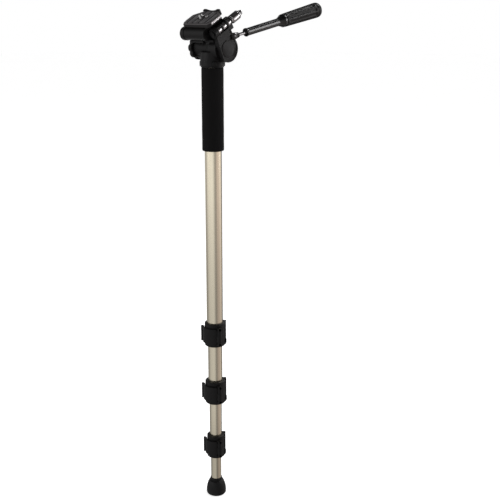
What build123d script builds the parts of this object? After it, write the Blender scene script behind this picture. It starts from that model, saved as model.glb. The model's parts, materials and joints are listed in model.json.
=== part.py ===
"""Four-section camera monopod with a tilting, flip-over pan head.

Units are millimetres, +Z is up. The origin is in the middle of the foam hand grip, on
the tube's axis. The head's tilt axis runs along X, the pan handle points to +Y, and the
leg locks face the corner between +X and -Y.
"""
from build123d import *
from math import cos, radians, sin, tan
import os

# Fits between pieces
RUN_FIT = 0.05
SEAT_FIT = 0.02
SOFT_GAP = 0.3
FACE_GAP = 0.3
OVERRUN = 1.0

# Hand grip and tubes
GRIP_LENGTH = 119.0
GRIP_RADIUS = 15.9
GRIP_EDGE = 1.2
TUBE_RADIUS = 12.5
TUBE_WALL = 1.0
TUBE_CLEARANCE = 0.4
MAIN_TUBE_SHOWN = 266.0
LEG_2_SHOWN = 59.7
LEG_3_SHOWN = 57.7
LEG_4_SHOWN = 39.7
FULL_STROKE = 350.0
LEAST_OVERLAP = 55.0
BUSH_HEAD = 8.0
BUSH_SPIGOT = 10.0
BUSH_WALL = 2.0
BUSH_GROOVE = 0.6
PLUG_DEPTH = 18.0

# Leg locks
LOCK_HEIGHT = 36.8
LOCK_RADIUS = 15.7
LOCK_CHAMFER = 0.8
THIRD_SLIMMER = 1.8
LOCK_SOCKET = 14.0
LOCK_YAW = 45.0
LEVER_HEIGHT = 24.4
LEVER_BAND = 2.6
LEVER_CLEARANCE = 0.5
LEVER_NOTCH = 2.2
LEVER_WRAP = 118.0
WEDGE_STEPS = 3
TAB_RADIUS = 2.0
TAB_FLARE = 2.1
PIN_ANGLE = -66.4
PIN_DISTANCE = 18.8
PIN_RADIUS = 1.5
PIN_HEAD = 2.3
PIN_HEAD_HEIGHT = 0.8
EAR_CLEARANCE = 1.1
EAR_RADIUS = 3.4
EAR_HEIGHT = 4.2
CLAMP_INNER = 6.0
CLAMP_RIGHT = 17.0
CLAMP_BACK = 9.5
CLAMP_EDGE = 1.2
SLIT_FRONT = 4.0
SLIT_WIDTH = 1.4
SEAT_RADIUS = 3.4
SEAT_PROUD = 0.9
SEAT_HEIGHT = 6.0
CAM_RADIUS = 4.2
CAM_OFFSET = 0.5
POCKET_CLEARANCE = 0.35
SHOE_WIDTH = 9.0
SHOE_HEIGHT = 11.0
SHOE_SIDE_FIT = 0.1
SHOE_DROP = 2.0

# Rubber foot
FOOT_HEIGHT = 28.5
FOOT_RADIUS = 15.8
FOOT_CUFF_RADIUS = 9.3
FOOT_CUFF_HEIGHT = 3.0
FOOT_NECK_RADIUS = 8.9
FOOT_NECK_HEIGHT = 1.6
FOOT_SHOULDER_RADIUS = 11.2
FOOT_SOCKET = 18.0
FOOT_EDGE = 3.0
FOOT_WALL_SHARE = 0.74
TREAD_DEPTH = 1.0
TREAD_WIDTH = 1.5
TREAD_RINGS = 3

# Pan base and head stud
STUD_RADIUS = 4.76
STUD_SHOWN = 9.0
BASE_RADIUS = 16.6
BASE_THICKNESS = 1.4
SPIGOT_RADIUS = 10.5
SPIGOT_HEIGHT = 14.0
GROOVE_DEPTH = 1.6
GROOVE_HEIGHT = 4.4
SKIRT_RADIUS = 18.2
SKIRT_HEIGHT = 6.6
NECK_RADIUS = 17.3
NECK_TOP = 21.0
WASHER_THICKNESS = 0.5

# Pan lock screw
PAN_LOCK_AZIMUTH = -33.5
PAN_LOCK_HEIGHT = 5.4
PAN_LOCK_RADIUS = 3.4
PAN_LOCK_THICKNESS = 5.0
PAN_LOCK_SHANK = 1.9
PAN_LOCK_RIBS = 10
PAN_LOCK_FLUTE = 0.7

# Tilt housing
TILT_HEIGHT = 26.0
TILT_BACK = 3.5
TILT_REST = 28.9
DRUM_LEFT = 30.0
DRUM_RIGHT = 21.4
DRUM_RADIUS = 12.2
FLARE_RADIUS = 17.4
FLARE_START = 9.0
FLARE_END = 9.0
AXLE_RADIUS = 4.0
AXLE_HEAD_RADIUS = 7.0
AXLE_HEAD_HEIGHT = 2.6

# Lobed tilt knob
KNOB_RADIUS = 17.0
KNOB_THICKNESS = 7.0
KNOB_LOBES = 8
KNOB_VALLEY_RADIUS = 4.6
KNOB_VALLEY_SHARE = 0.09
KNOB_EDGE = 1.0
KNOB_HUB_RADIUS = 8.0
KNOB_HUB_HEIGHT = 1.6

# Tilt bracket, in the head's own level frame: X right, Y back, Z up from the tilt axis
CHEEK_INNER = 22.0
CHEEK_OUTER = 29.7
CHEEK_RADIUS = 18.4
CHEEK_TOP = 24.7
CHEEK_FRONT = -11.0
CHEEK_BACK = 16.7
CHEEK_FRONT_ANGLE = 215.0
CHEEK_BACK_ANGLE = 9.0
CHEEK_CORNER = 2.4
CHEEK_RIM = 1.8
CHEEK_RECESS = 0.8
COVER_RADIUS = 12.0
COVER_THICKNESS = 1.4
SHELF_LEFT = -23.5
SHELF_FRONT = -14.0
SHELF_BACK = 17.0
SHELF_BOTTOM = 18.2
SHELF_CLEARANCE = 0.6
SHELF_TOP = 21.5
SHELF_LIP = 2.2
SHELF_LIP_RIGHT = 3.0

# Flip hinge
FLIP_X = 25.7
FLIP_Z = 30.2
KNUCKLE_RADIUS = 5.0
BOSS_RADIUS = 6.8
BOSS_FRONT = -13.0
BOSS_BACK = -6.0
KNUCKLE_ENDS = (5.2, 15.4, 24.0)
KNUCKLE_GAP = 0.3
EAR_INNER = 20.2
EAR_RISE = 6.4
BOLT_RADIUS = 2.5
BOLT_HEAD_RADIUS = 4.2
BOLT_HEAD_HEIGHT = 1.6
FLIP_KNOB_RADIUS = 6.3
FLIP_KNOB_LENGTH = 15.2
FLIP_GROOVE_DEPTH = 0.8
FLIP_GROOVE_WIDTH = 1.4
FLIP_COLLAR_LENGTH = 2.0
FLIP_COLLAR_RADIUS = 5.0
CONE_LENGTH = 8.4
CONE_RADIUS = 4.8
CONE_TIP_RADIUS = 2.3

# Flip platform
DECK_TOP = 40.4
DECK_BOTTOM = 21.8
DECK_LEFT = -30.0
DECK_RIGHT = 17.0
DECK_BACK = 20.0
DECK_CORNER = 2.0
BARREL_Y = -13.6
BARREL_Z = 30.8
BARREL_RADIUS = 9.0
HINGE_WEB_HEIGHT = 8.4
RELEASE_RADIUS = 9.6
RELEASE_LENGTH = 7.6
RELEASE_EDGE = 1.4
RELEASE_SHAFT_RADIUS = 2.5
RELEASE_SHAFT_LENGTH = 12.0
RELEASE_GRIP_LENGTH = 7.0
RELEASE_GRIP_WIDTH = 3.2
CHANNEL_DEPTH = 3.6
CHANNEL_HALF_TOP = 14.0
CHANNEL_FRONT = -9.0
DOVETAIL_SLOPE = 30.0
DOVETAIL_FIT = 0.3

# Quick-release plate
PLATE_X = -1.7
PLATE_HALF_WIDTH = 28.1
PLATE_FRONT = -14.0
PLATE_BACK = 21.5
PLATE_THICKNESS = 5.0
PLATE_BEVEL = 0.7
PLATE_FRONT_CORNER_X = 3.5
PLATE_FRONT_CORNER_Y = 5.0
PLATE_BACK_CORNER_X = 13.0
PLATE_BACK_CORNER_Y = 10.0
LIP_HEIGHT = 1.8
LIP_THICKNESS = 2.6
LIP_HALF_WIDTH = 16.6
LIP_EAR = 5.6
LIP_DIP = 2.2
LIP_CORNER = 1.6
PAD_THICKNESS = 1.2
PAD_MARGIN = 2.6
PAD_RIBS = 9
PAD_RIB_HEIGHT = 0.5
PAD_RIB_WIDTH = 1.6
SERRATIONS = 12
SERRATION_DEPTH = 0.5

# Camera screw and index pin
SCREW_X = -3.0
SCREW_Y = 2.0
SCREW_RADIUS = 3.175
SCREW_NECK_RADIUS = 2.6
SCREW_SHOWN = 4.6
SCREW_COLLAR_RADIUS = 5.5
SCREW_HEAD_RADIUS = 7.0
SCREW_HEAD_HEIGHT = 2.4
SCREW_SLOT = 1.4
SCREW_POINT = 0.7
INDEX_X = 8.2
INDEX_Y = 3.0
INDEX_RADIUS = 2.1
INDEX_SHOWN = 2.6
INDEX_HEAD_RADIUS = 3.2
INDEX_HEAD_HEIGHT = 1.0
INDEX_TRAVEL = 2.6

# Pan handle
HANDLE_PITCH = 11.4
HANDLE_Y = 20.0
HANDLE_Z = 8.2
SOCKET_RADIUS = 5.0
SOCKET_TIP_RADIUS = 3.6
SOCKET_START = -8.0
SOCKET_END = 9.0
ROD_RADIUS = 2.2
ROD_START = -4.0
SLEEVE_START = 24.0
SLEEVE_RADIUS = 5.5
SLEEVE_END_RADIUS = 5.7
SLEEVE_RING = 1.6
SLEEVE_RING_RADIUS = 6.0
SLEEVE_LENGTH = 67.5
FLARE_LENGTH = 9.0
FLARE_END_RADIUS = 9.0
HANDLE_COLLAR = 4.0
HANDLE_COLLAR_RADIUS = 9.3
HANDLE_GRIP_LENGTH = 68.5
HANDLE_GRIP_RADIUS = 9.7
HANDLE_GRIP_END_RADIUS = 11.3
HANDLE_FLUTES = 10
HANDLE_FLUTE_RADIUS = 2.0
HANDLE_FLUTE_DEPTH = 1.0
HANDLE_FLUTE_MARGIN = 5.0
CAP_LENGTH = 9.5
CAP_SEAM = 0.5
CAP_ROUND = 4.25

FIRST, SECOND, THIRD, LAST = range(1, 5)
LEGS = (SECOND, THIRD, LAST)
LOCKS = (FIRST, SECOND, THIRD)
LOCK_SLIMMING = {FIRST: 0.0, SECOND: 0.0, THIRD: THIRD_SLIMMER}
LEG_SHOWN = {SECOND: LEG_2_SHOWN, THIRD: LEG_3_SHOWN, LAST: LEG_4_SHOWN}
FULL_TURN = 360.0
QUARTER_TURN = 90.0
HALF = 0.5
BASE = (Align.CENTER, Align.CENTER, Align.MIN)
PARTS = {}


def keep(name, shape):
    """Store one finished piece under its node name."""
    PARTS[name] = shape


def rod_z(radius, low, high):
    return Pos(0, 0, low) * Cylinder(radius, high - low, align=BASE)


def cone_z(low_radius, high_radius, low, high):
    return Pos(0, 0, low) * Cone(low_radius, high_radius, high - low, align=BASE)


def tube_z(outer, inner, low, high):
    return rod_z(outer, low, high) - rod_z(inner, low - OVERRUN, high + OVERRUN)


def along_x(shape):
    """Turn a shape built along Z so that it points along X."""
    return Rot(0, QUARTER_TURN, 0) * shape


def along_y(shape):
    """Turn a shape built along Z so that it points along Y."""
    return Rot(-QUARTER_TURN, 0, 0) * shape


def box(x0, x1, y0, y1, z0, z1):
    low = (Align.MIN, Align.MIN, Align.MIN)
    return Pos(x0, y0, z0) * Box(x1 - x0, y1 - y0, z1 - z0, align=low)


def polar(radius, angle):
    return (radius * cos(radians(angle)), radius * sin(radians(angle)))


def outline(points):
    """A closed face from corner points in the XY plane."""
    return make_face(Polyline(*points, close=True))


# Stations down the leg
def tube_radius(section):
    return TUBE_RADIUS - (section - 1) * (TUBE_WALL + TUBE_CLEARANCE)


def bore_radius(section):
    return tube_radius(section) - TUBE_WALL


GRIP_TOP = GRIP_LENGTH / 2
GRIP_BOTTOM = -GRIP_LENGTH / 2
LOCK_TOP = {FIRST: GRIP_BOTTOM - MAIN_TUBE_SHOWN}
for leg in (SECOND, THIRD):
    LOCK_TOP[leg] = LOCK_TOP[leg - 1] - LOCK_HEIGHT - LEG_SHOWN[leg]
FOOT_TOP = LOCK_TOP[THIRD] - LOCK_HEIGHT - LEG_SHOWN[LAST]
FOOT_BOTTOM = FOOT_TOP - FOOT_HEIGHT
LEG_TUBE_LENGTH = FULL_STROKE + LEAST_OVERLAP


def tube_foot(section):
    """Height at which a tube's lower end sits."""
    if section == LAST:
        return FOOT_TOP - FOOT_SOCKET
    return LOCK_TOP[section] - LOCK_SOCKET


# Upper leg
def foam_grip():
    grip = tube_z(GRIP_RADIUS, TUBE_RADIUS + SEAT_FIT, GRIP_BOTTOM, GRIP_TOP - SOFT_GAP)
    rings = grip.edges().filter_by(GeomType.CIRCLE)
    return fillet([ring for ring in rings if ring.radius > GRIP_RADIUS - SEAT_FIT], GRIP_EDGE)


def main_tube():
    return tube_z(TUBE_RADIUS, bore_radius(FIRST), tube_foot(FIRST), GRIP_TOP)


def tube_plug():
    plug = rod_z(bore_radius(FIRST) - SEAT_FIT, GRIP_TOP - PLUG_DEPTH, GRIP_TOP)
    return plug - rod_z(STUD_RADIUS + SEAT_FIT, GRIP_TOP - PLUG_DEPTH - OVERRUN, GRIP_TOP + OVERRUN)


def head_stud():
    return rod_z(STUD_RADIUS, GRIP_TOP - PLUG_DEPTH, GRIP_TOP + STUD_SHOWN)


# Sliding sections
def leg_tube(section):
    foot = tube_foot(section)
    return tube_z(tube_radius(section), bore_radius(section), foot, foot + LEG_TUBE_LENGTH)


def leg_bush(section):
    """Plastic guide on a tube's upper end, running in the bore of the tube above."""
    top = tube_foot(section) + LEG_TUBE_LENGTH
    head = rod_z(bore_radius(section - 1) - RUN_FIT, top, top + BUSH_HEAD)
    middle = top + BUSH_HEAD / 2
    low, high = middle - BUSH_WALL / 2, middle + BUSH_WALL / 2
    groove = tube_z(TUBE_RADIUS, bore_radius(section - 1) - BUSH_GROOVE, low, high)
    spigot = rod_z(bore_radius(section) - SEAT_FIT, top - BUSH_SPIGOT, top)
    hollow = rod_z(bore_radius(section) - BUSH_WALL, top - BUSH_SPIGOT - OVERRUN, top + BUSH_HEAD + OVERRUN)
    return head - groove + spigot - hollow


# Leg locks, built about the tube axis with the lock's top at zero
LEVER_TOP = -(LOCK_HEIGHT - LEVER_HEIGHT) / 2
LEVER_BOTTOM = LEVER_TOP - LEVER_HEIGHT
KNUCKLE_TOP = LEVER_TOP - LEVER_NOTCH
KNUCKLE_BOTTOM = LEVER_BOTTOM + LEVER_NOTCH
SHOE_TOP = -LOCK_SOCKET - SHOE_DROP
SHOE_BOTTOM = SHOE_TOP - SHOE_HEIGHT
POCKET_RADIUS = CAM_RADIUS + CAM_OFFSET + POCKET_CLEARANCE
EAR_TOP = KNUCKLE_TOP + EAR_HEIGHT
EAR_BOTTOM = KNUCKLE_BOTTOM - EAR_HEIGHT


def pin_distance(number):
    return PIN_DISTANCE - LOCK_SLIMMING[number]


def pin_place(number):
    """Lever pin beside the tube axis."""
    return polar(pin_distance(number), PIN_ANGLE)


def at_pin(shape, number):
    return Pos(*pin_place(number), 0) * shape


def pin_ear(low, high, number):
    """One hinge ear: a web from the collar out to a round boss about the pin."""
    web = box(tube_radius(number), pin_distance(number), -EAR_RADIUS, EAR_RADIUS, low, high)
    return Rot(0, 0, PIN_ANGLE) * web + at_pin(rod_z(EAR_RADIUS, low, high), number)


def clamp_boss(number):
    """Squared corner on the collar's side, where the clamp's screw draws its slit together."""
    right = CLAMP_RIGHT - LOCK_SLIMMING[number]
    boss = box(CLAMP_INNER, right, 0, CLAMP_BACK, -LOCK_HEIGHT, 0)
    boss = fillet(boss.edges().filter_by(Axis.Z).group_by(Axis.X)[-1].sort_by(Axis.Y)[-1], CLAMP_EDGE)
    seat = along_x(rod_z(SEAT_RADIUS, CLAMP_INNER, right + SEAT_PROUD))
    boss += Pos(0, 0, SEAT_HEIGHT - LOCK_HEIGHT) * seat
    slit = box(0, right + OVERRUN, SLIT_FRONT, SLIT_FRONT + SLIT_WIDTH, -LOCK_HEIGHT - OVERRUN, OVERRUN)
    return boss, slit


def lock_collar(number):
    body = rod_z(LOCK_RADIUS - LOCK_SLIMMING[number], -LOCK_HEIGHT, 0)
    boss, slit = clamp_boss(number)
    body = chamfer(body.edges().filter_by(GeomType.CIRCLE), LOCK_CHAMFER) + boss - slit
    gap = RUN_FIT + KNUCKLE_GAP
    body += pin_ear(KNUCKLE_TOP + gap, EAR_TOP, number) + pin_ear(EAR_BOTTOM, KNUCKLE_BOTTOM - gap, number)
    body -= at_pin(rod_z(POCKET_RADIUS, KNUCKLE_BOTTOM - gap, KNUCKLE_TOP + gap), number)
    body -= at_pin(rod_z(PIN_RADIUS + SEAT_FIT, EAR_BOTTOM - OVERRUN, EAR_TOP + OVERRUN), number)
    body -= rod_z(tube_radius(number) + SEAT_FIT, -LOCK_SOCKET, OVERRUN)
    body -= rod_z(tube_radius(number + 1) + RUN_FIT, -LOCK_HEIGHT - OVERRUN, OVERRUN)
    half = SHOE_WIDTH / 2
    window = Rot(0, 0, PIN_ANGLE) * box(0, pin_distance(number), -half, half, SHOE_BOTTOM, SHOE_TOP)
    return body - window


def lock_shoe(number):
    """Brake shoe that the lever's cam presses against the inner tube."""
    half = SHOE_WIDTH / 2 - SHOE_SIDE_FIT
    reach = pin_distance(number) - CAM_OFFSET - CAM_RADIUS - SEAT_FIT
    block = box(0, reach, -half, half, SHOE_BOTTOM + SHOE_SIDE_FIT, SHOE_TOP - SHOE_SIDE_FIT)
    return Rot(0, 0, PIN_ANGLE) * block - rod_z(tube_radius(number + 1) + RUN_FIT, SHOE_BOTTOM, SHOE_TOP)


def lock_pin(number):
    shank = rod_z(PIN_RADIUS, EAR_BOTTOM, EAR_TOP)
    heads = rod_z(PIN_HEAD, EAR_TOP, EAR_TOP + PIN_HEAD_HEIGHT)
    heads += rod_z(PIN_HEAD, EAR_BOTTOM - PIN_HEAD_HEIGHT, EAR_BOTTOM)
    return at_pin(shank + heads, number)


def lever_band(low, high, number):
    """The part of the lever that wraps the collar, with a flared finger tab at its end."""
    inner = LOCK_RADIUS - LOCK_SLIMMING[number] + LEVER_CLEARANCE
    outer = inner + LEVER_BAND
    ring = tube_z(outer, inner, low, high)
    steps = range(WEDGE_STEPS + 1)
    wedge = [(0, 0)] + [polar(2 * outer, PIN_ANGLE - LEVER_WRAP * step / WEDGE_STEPS) for step in steps]
    band = ring & (Pos(0, 0, low) * extrude(outline(wedge), high - low))
    tab_at = polar((inner + outer) / 2 + TAB_FLARE, PIN_ANGLE - LEVER_WRAP)
    return band + Pos(*tab_at, 0) * rod_z(TAB_RADIUS, low, high)


def lock_lever(number):
    """Curved clamp lever with an eccentric cam about its pin."""
    knuckle = at_pin(rod_z(EAR_RADIUS, KNUCKLE_BOTTOM, KNUCKLE_TOP), number)
    cam_at = polar(pin_distance(number) - CAM_OFFSET, PIN_ANGLE)
    cam = Pos(*cam_at, 0) * rod_z(CAM_RADIUS, SHOE_BOTTOM, SHOE_TOP)
    clear = EAR_RADIUS + EAR_CLEARANCE
    clearing = rod_z(clear, KNUCKLE_TOP, LEVER_TOP + OVERRUN)
    clearing += rod_z(clear, LEVER_BOTTOM - OVERRUN, KNUCKLE_BOTTOM)
    lever = lever_band(LEVER_BOTTOM, LEVER_TOP, number) - at_pin(clearing, number) + knuckle + cam
    return lever - at_pin(rod_z(PIN_RADIUS + RUN_FIT, LEVER_BOTTOM - OVERRUN, LEVER_TOP + OVERRUN), number)


def place_lock(shape, number):
    return Pos(0, 0, LOCK_TOP[number]) * Rot(0, 0, LOCK_YAW) * shape


# Foot
def rubber_foot():
    """Bell-shaped rubber foot with a cuff, a neck groove and a ringed tread."""
    neck_high = FOOT_HEIGHT - FOOT_CUFF_HEIGHT
    neck_low = neck_high - FOOT_NECK_HEIGHT
    flat = FOOT_RADIUS - FOOT_EDGE
    swell_radius = FOOT_SHOULDER_RADIUS + (FOOT_RADIUS - FOOT_SHOULDER_RADIUS) * FOOT_WALL_SHARE
    swell = (swell_radius, (neck_low + FOOT_EDGE) / 2)
    lines = Line((0, 0), (flat, 0))
    lines += RadiusArc((flat, 0), (FOOT_RADIUS, FOOT_EDGE), -FOOT_EDGE)
    lines += ThreePointArc((FOOT_RADIUS, FOOT_EDGE), swell, (FOOT_SHOULDER_RADIUS, neck_low))
    lines += Polyline(
        (FOOT_SHOULDER_RADIUS, neck_low), (FOOT_NECK_RADIUS, neck_low),
        (FOOT_NECK_RADIUS, neck_high), (FOOT_CUFF_RADIUS, neck_high),
        (FOOT_CUFF_RADIUS, FOOT_HEIGHT), (0, FOOT_HEIGHT), (0, 0),
    )
    foot = revolve(make_face(Plane.XZ * lines), Axis.Z)
    foot -= rod_z(tube_radius(LAST) + SEAT_FIT, FOOT_HEIGHT - FOOT_SOCKET, FOOT_HEIGHT + OVERRUN)
    for ring in range(TREAD_RINGS):
        inner = (FOOT_RADIUS - FOOT_EDGE) * (ring + 1) / (TREAD_RINGS + 1)
        foot -= tube_z(inner + TREAD_WIDTH / 2, inner - TREAD_WIDTH / 2, -OVERRUN, TREAD_DEPTH)
    return Pos(0, 0, FOOT_BOTTOM) * foot


def foot_plug():
    low = tube_foot(LAST)
    return rod_z(bore_radius(LAST) - SEAT_FIT, low, low + PLUG_DEPTH)


# Pan base and pan body, built with the top of the main tube at zero
SKIRT_LOW = BASE_THICKNESS + WASHER_THICKNESS
GROOVE_LOW = PAN_LOCK_HEIGHT - GROOVE_HEIGHT / 2
GROOVE_HIGH = PAN_LOCK_HEIGHT + GROOVE_HEIGHT / 2
GROOVE_RADIUS = SPIGOT_RADIUS - GROOVE_DEPTH


def pan_base():
    base = rod_z(BASE_RADIUS, 0, BASE_THICKNESS) + rod_z(SPIGOT_RADIUS, 0, SPIGOT_HEIGHT)
    base -= tube_z(SPIGOT_RADIUS + OVERRUN, GROOVE_RADIUS, GROOVE_LOW, GROOVE_HIGH)
    return base - rod_z(STUD_RADIUS + SEAT_FIT, -OVERRUN, STUD_SHOWN)


def pan_washer():
    return tube_z(BASE_RADIUS, SPIGOT_RADIUS + SEAT_FIT, BASE_THICKNESS, SKIRT_LOW)


def drum_solid():
    """Tilt housing: a drum along X that flares out to meet the side cheek."""
    flare_at = DRUM_RIGHT - FLARE_END
    lines = Line((-DRUM_LEFT, 0), (-DRUM_LEFT, DRUM_RADIUS))
    lines += Line((-DRUM_LEFT, DRUM_RADIUS), (-FLARE_START, DRUM_RADIUS))
    lines += Spline((-FLARE_START, DRUM_RADIUS), (flare_at, FLARE_RADIUS), tangents=((1, 0), (1, 0)))
    lines += Polyline((flare_at, FLARE_RADIUS), (DRUM_RIGHT, FLARE_RADIUS), (DRUM_RIGHT, 0), (-DRUM_LEFT, 0))
    return revolve(make_face(lines), Axis.X)


def pan_body():
    drum = Pos(0, TILT_BACK, TILT_HEIGHT) * drum_solid()
    neck = rod_z(SKIRT_RADIUS, SKIRT_LOW, SKIRT_LOW + SKIRT_HEIGHT)
    neck += rod_z(NECK_RADIUS, SKIRT_LOW, NECK_TOP)
    body = neck + drum
    body -= rod_z(SPIGOT_RADIUS + RUN_FIT, 0, SPIGOT_HEIGHT + FACE_GAP)
    axle = along_x(rod_z(AXLE_RADIUS + RUN_FIT, -DRUM_LEFT - OVERRUN, DRUM_RIGHT + OVERRUN))
    body -= Pos(0, TILT_BACK, TILT_HEIGHT) * axle
    return body - place_pan_lock(rod_z(PAN_LOCK_SHANK + RUN_FIT, 0, SKIRT_RADIUS + OVERRUN))


def place_pan_lock(shape):
    """Put a piece built along Z onto the pan lock screw's radial axis."""
    return Pos(0, 0, PAN_LOCK_HEIGHT) * Rot(0, 0, PAN_LOCK_AZIMUTH) * along_x(shape)


def pan_lock():
    start = SKIRT_RADIUS + FACE_GAP
    knob = rod_z(PAN_LOCK_RADIUS, start, start + PAN_LOCK_THICKNESS)
    for rib in range(PAN_LOCK_RIBS):
        at = polar(PAN_LOCK_RADIUS, FULL_TURN * rib / PAN_LOCK_RIBS)
        knob -= Pos(*at, 0) * rod_z(PAN_LOCK_FLUTE, start, start + PAN_LOCK_THICKNESS)
    return place_pan_lock(knob + rod_z(PAN_LOCK_SHANK, GROOVE_RADIUS + FACE_GAP, start))


def place_head(shape, tilt=TILT_REST):
    """Move a piece from the head's level frame to its place above the pan base."""
    return Pos(0, TILT_BACK, GRIP_TOP + TILT_HEIGHT) * Rot(tilt, 0, 0) * shape


# Tilt bracket and its pieces
def cheek_outline(inset):
    """D-shaped cheek in the YZ plane: a disc about the axle with a neck up to the hinge."""
    radius = CHEEK_RADIUS - inset
    front_low = polar(radius, CHEEK_FRONT_ANGLE)
    back_low = polar(radius, CHEEK_BACK_ANGLE)
    lowest = polar(radius, (CHEEK_FRONT_ANGLE + CHEEK_BACK_ANGLE + FULL_TURN) / 2)
    top = CHEEK_TOP - inset
    lines = ThreePointArc(front_low, lowest, back_low)
    lines += Polyline(back_low, (CHEEK_BACK - inset, top), (CHEEK_FRONT + inset, top), front_low)
    face = make_face(lines)
    corners = [v for v in face.vertices() if v.Y > top - SEAT_FIT]
    return fillet(corners, CHEEK_CORNER - inset / 2)


def cheek_prism(inset, x0, x1):
    """Extrude the cheek's outline from one X to another."""
    upright = Plane(origin=(x0, 0, 0), x_dir=(0, 1, 0), z_dir=(1, 0, 0))
    return extrude(upright * cheek_outline(inset), x1 - x0)


def knuckle(radius, y0, y1):
    return Pos(FLIP_X, 0, FLIP_Z) * along_y(rod_z(radius, y0, y1))


def handle_frame(shape):
    """Place a piece built along Z on the pan handle's axis, in the head's level frame."""
    return Pos(FLIP_X, HANDLE_Y, HANDLE_Z) * Rot(HANDLE_PITCH - TILT_REST - QUARTER_TURN, 0, 0) * shape


def tilt_bracket():
    """Cheek, shelf, hinge lugs and handle socket, cast as one piece."""
    body = cheek_prism(0, CHEEK_INNER, CHEEK_OUTER)
    body -= cheek_prism(CHEEK_RIM, CHEEK_OUTER - CHEEK_RECESS, CHEEK_OUTER + OVERRUN)
    body += box(SHELF_LEFT, CHEEK_INNER, SHELF_FRONT, SHELF_BACK, SHELF_BOTTOM, SHELF_TOP)
    lip = along_x(rod_z(SHELF_LIP, SHELF_LEFT, SHELF_LIP_RIGHT))
    body += Pos(0, SHELF_FRONT, SHELF_TOP - SHELF_LIP) * lip
    body += hinge_lugs()
    socket = rod_z(SOCKET_RADIUS, SOCKET_START, 0)
    body += handle_frame(socket + cone_z(SOCKET_RADIUS, SOCKET_TIP_RADIUS, 0, SOCKET_END))
    body -= along_x(rod_z(FLARE_RADIUS + SHELF_CLEARANCE, SHELF_LEFT - OVERRUN, CHEEK_INNER))
    body -= handle_frame(rod_z(ROD_RADIUS + RUN_FIT, ROD_START - FACE_GAP, SOCKET_END + OVERRUN))
    body -= knuckle(BOLT_RADIUS + RUN_FIT, BOSS_FRONT - OVERRUN, KNUCKLE_ENDS[2] + OVERRUN)
    return body - axle_holes()


def hinge_lugs():
    """Front boss and back knuckle of the flip hinge, with the webs that carry them and a back ear."""
    first, second, third = KNUCKLE_ENDS
    lugs = knuckle(BOSS_RADIUS, BOSS_FRONT, BOSS_BACK) + knuckle(KNUCKLE_RADIUS, BOSS_BACK, first)
    lugs += knuckle(KNUCKLE_RADIUS, second + KNUCKLE_GAP, third)
    right = FLIP_X + KNUCKLE_RADIUS / 2
    lugs += box(CHEEK_INNER, right, CHEEK_FRONT + CHEEK_CORNER, first, SHELF_TOP, FLIP_Z)
    lugs += box(CHEEK_INNER, right, second + KNUCKLE_GAP, third, SHELF_TOP - SHELF_LIP, FLIP_Z)
    return lugs + box(EAR_INNER, FLIP_X, second + KNUCKLE_GAP, third, FLIP_Z, FLIP_Z + EAR_RISE)


def axle_holes():
    """Stepped hole in the cheek for the axle, its head and the cover."""
    cover_floor = CHEEK_OUTER - CHEEK_RECESS - COVER_THICKNESS
    holes = rod_z(AXLE_RADIUS + SEAT_FIT, CHEEK_INNER - OVERRUN, CHEEK_OUTER + OVERRUN)
    holes += rod_z(AXLE_HEAD_RADIUS + SEAT_FIT, cover_floor - AXLE_HEAD_HEIGHT, CHEEK_OUTER + OVERRUN)
    return along_x(holes + rod_z(COVER_RADIUS + SEAT_FIT, cover_floor, CHEEK_OUTER + OVERRUN))


def cheek_cover():
    low = CHEEK_OUTER - CHEEK_RECESS - COVER_THICKNESS
    cover = rod_z(COVER_RADIUS, low, CHEEK_OUTER)
    return along_x(chamfer(cover.edges().group_by(Axis.Z)[-1], CHEEK_RECESS / 2))


def tilt_axle():
    """Bolt that carries the bracket: its head is let into the cheek, its end into the knob."""
    head_low = CHEEK_OUTER - CHEEK_RECESS - COVER_THICKNESS - AXLE_HEAD_HEIGHT
    head = rod_z(AXLE_HEAD_RADIUS, head_low, head_low + AXLE_HEAD_HEIGHT)
    return along_x(head + rod_z(AXLE_RADIUS, -DRUM_LEFT - KNOB_THICKNESS, head_low))


def tilt_washer():
    washer = tube_z(FLARE_RADIUS - OVERRUN, AXLE_RADIUS + SEAT_FIT, DRUM_RIGHT, CHEEK_INNER)
    return along_x(washer)


def tilt_knob():
    """Lobed knob on the axle's free end."""
    knob = rod_z(KNOB_RADIUS, 0, KNOB_THICKNESS)
    knob = fillet(knob.edges().filter_by(GeomType.CIRCLE), KNOB_EDGE)
    valley_at = KNOB_RADIUS * (1 - KNOB_VALLEY_SHARE) + KNOB_VALLEY_RADIUS
    for lobe in range(KNOB_LOBES):
        at = polar(valley_at, FULL_TURN * (lobe + HALF) / KNOB_LOBES)
        knob -= Pos(*at, 0) * rod_z(KNOB_VALLEY_RADIUS, -OVERRUN, KNOB_THICKNESS + OVERRUN)
    knob += rod_z(KNOB_HUB_RADIUS, KNOB_THICKNESS, KNOB_THICKNESS + KNOB_HUB_HEIGHT)
    knob -= rod_z(AXLE_RADIUS + RUN_FIT, -OVERRUN, KNOB_THICKNESS)
    return Pos(-DRUM_LEFT - FACE_GAP, 0, 0) * Rot(0, -QUARTER_TURN, 0) * knob


# Flip hinge bolt and its knob
def flip_bolt():
    head = rod_z(BOLT_HEAD_RADIUS, BOSS_FRONT - BOLT_HEAD_HEIGHT, BOSS_FRONT)
    shank = rod_z(BOLT_RADIUS, BOSS_FRONT, KNUCKLE_ENDS[2] + FLIP_KNOB_LENGTH)
    return Pos(FLIP_X, 0, FLIP_Z) * along_y(head + shank)


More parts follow.
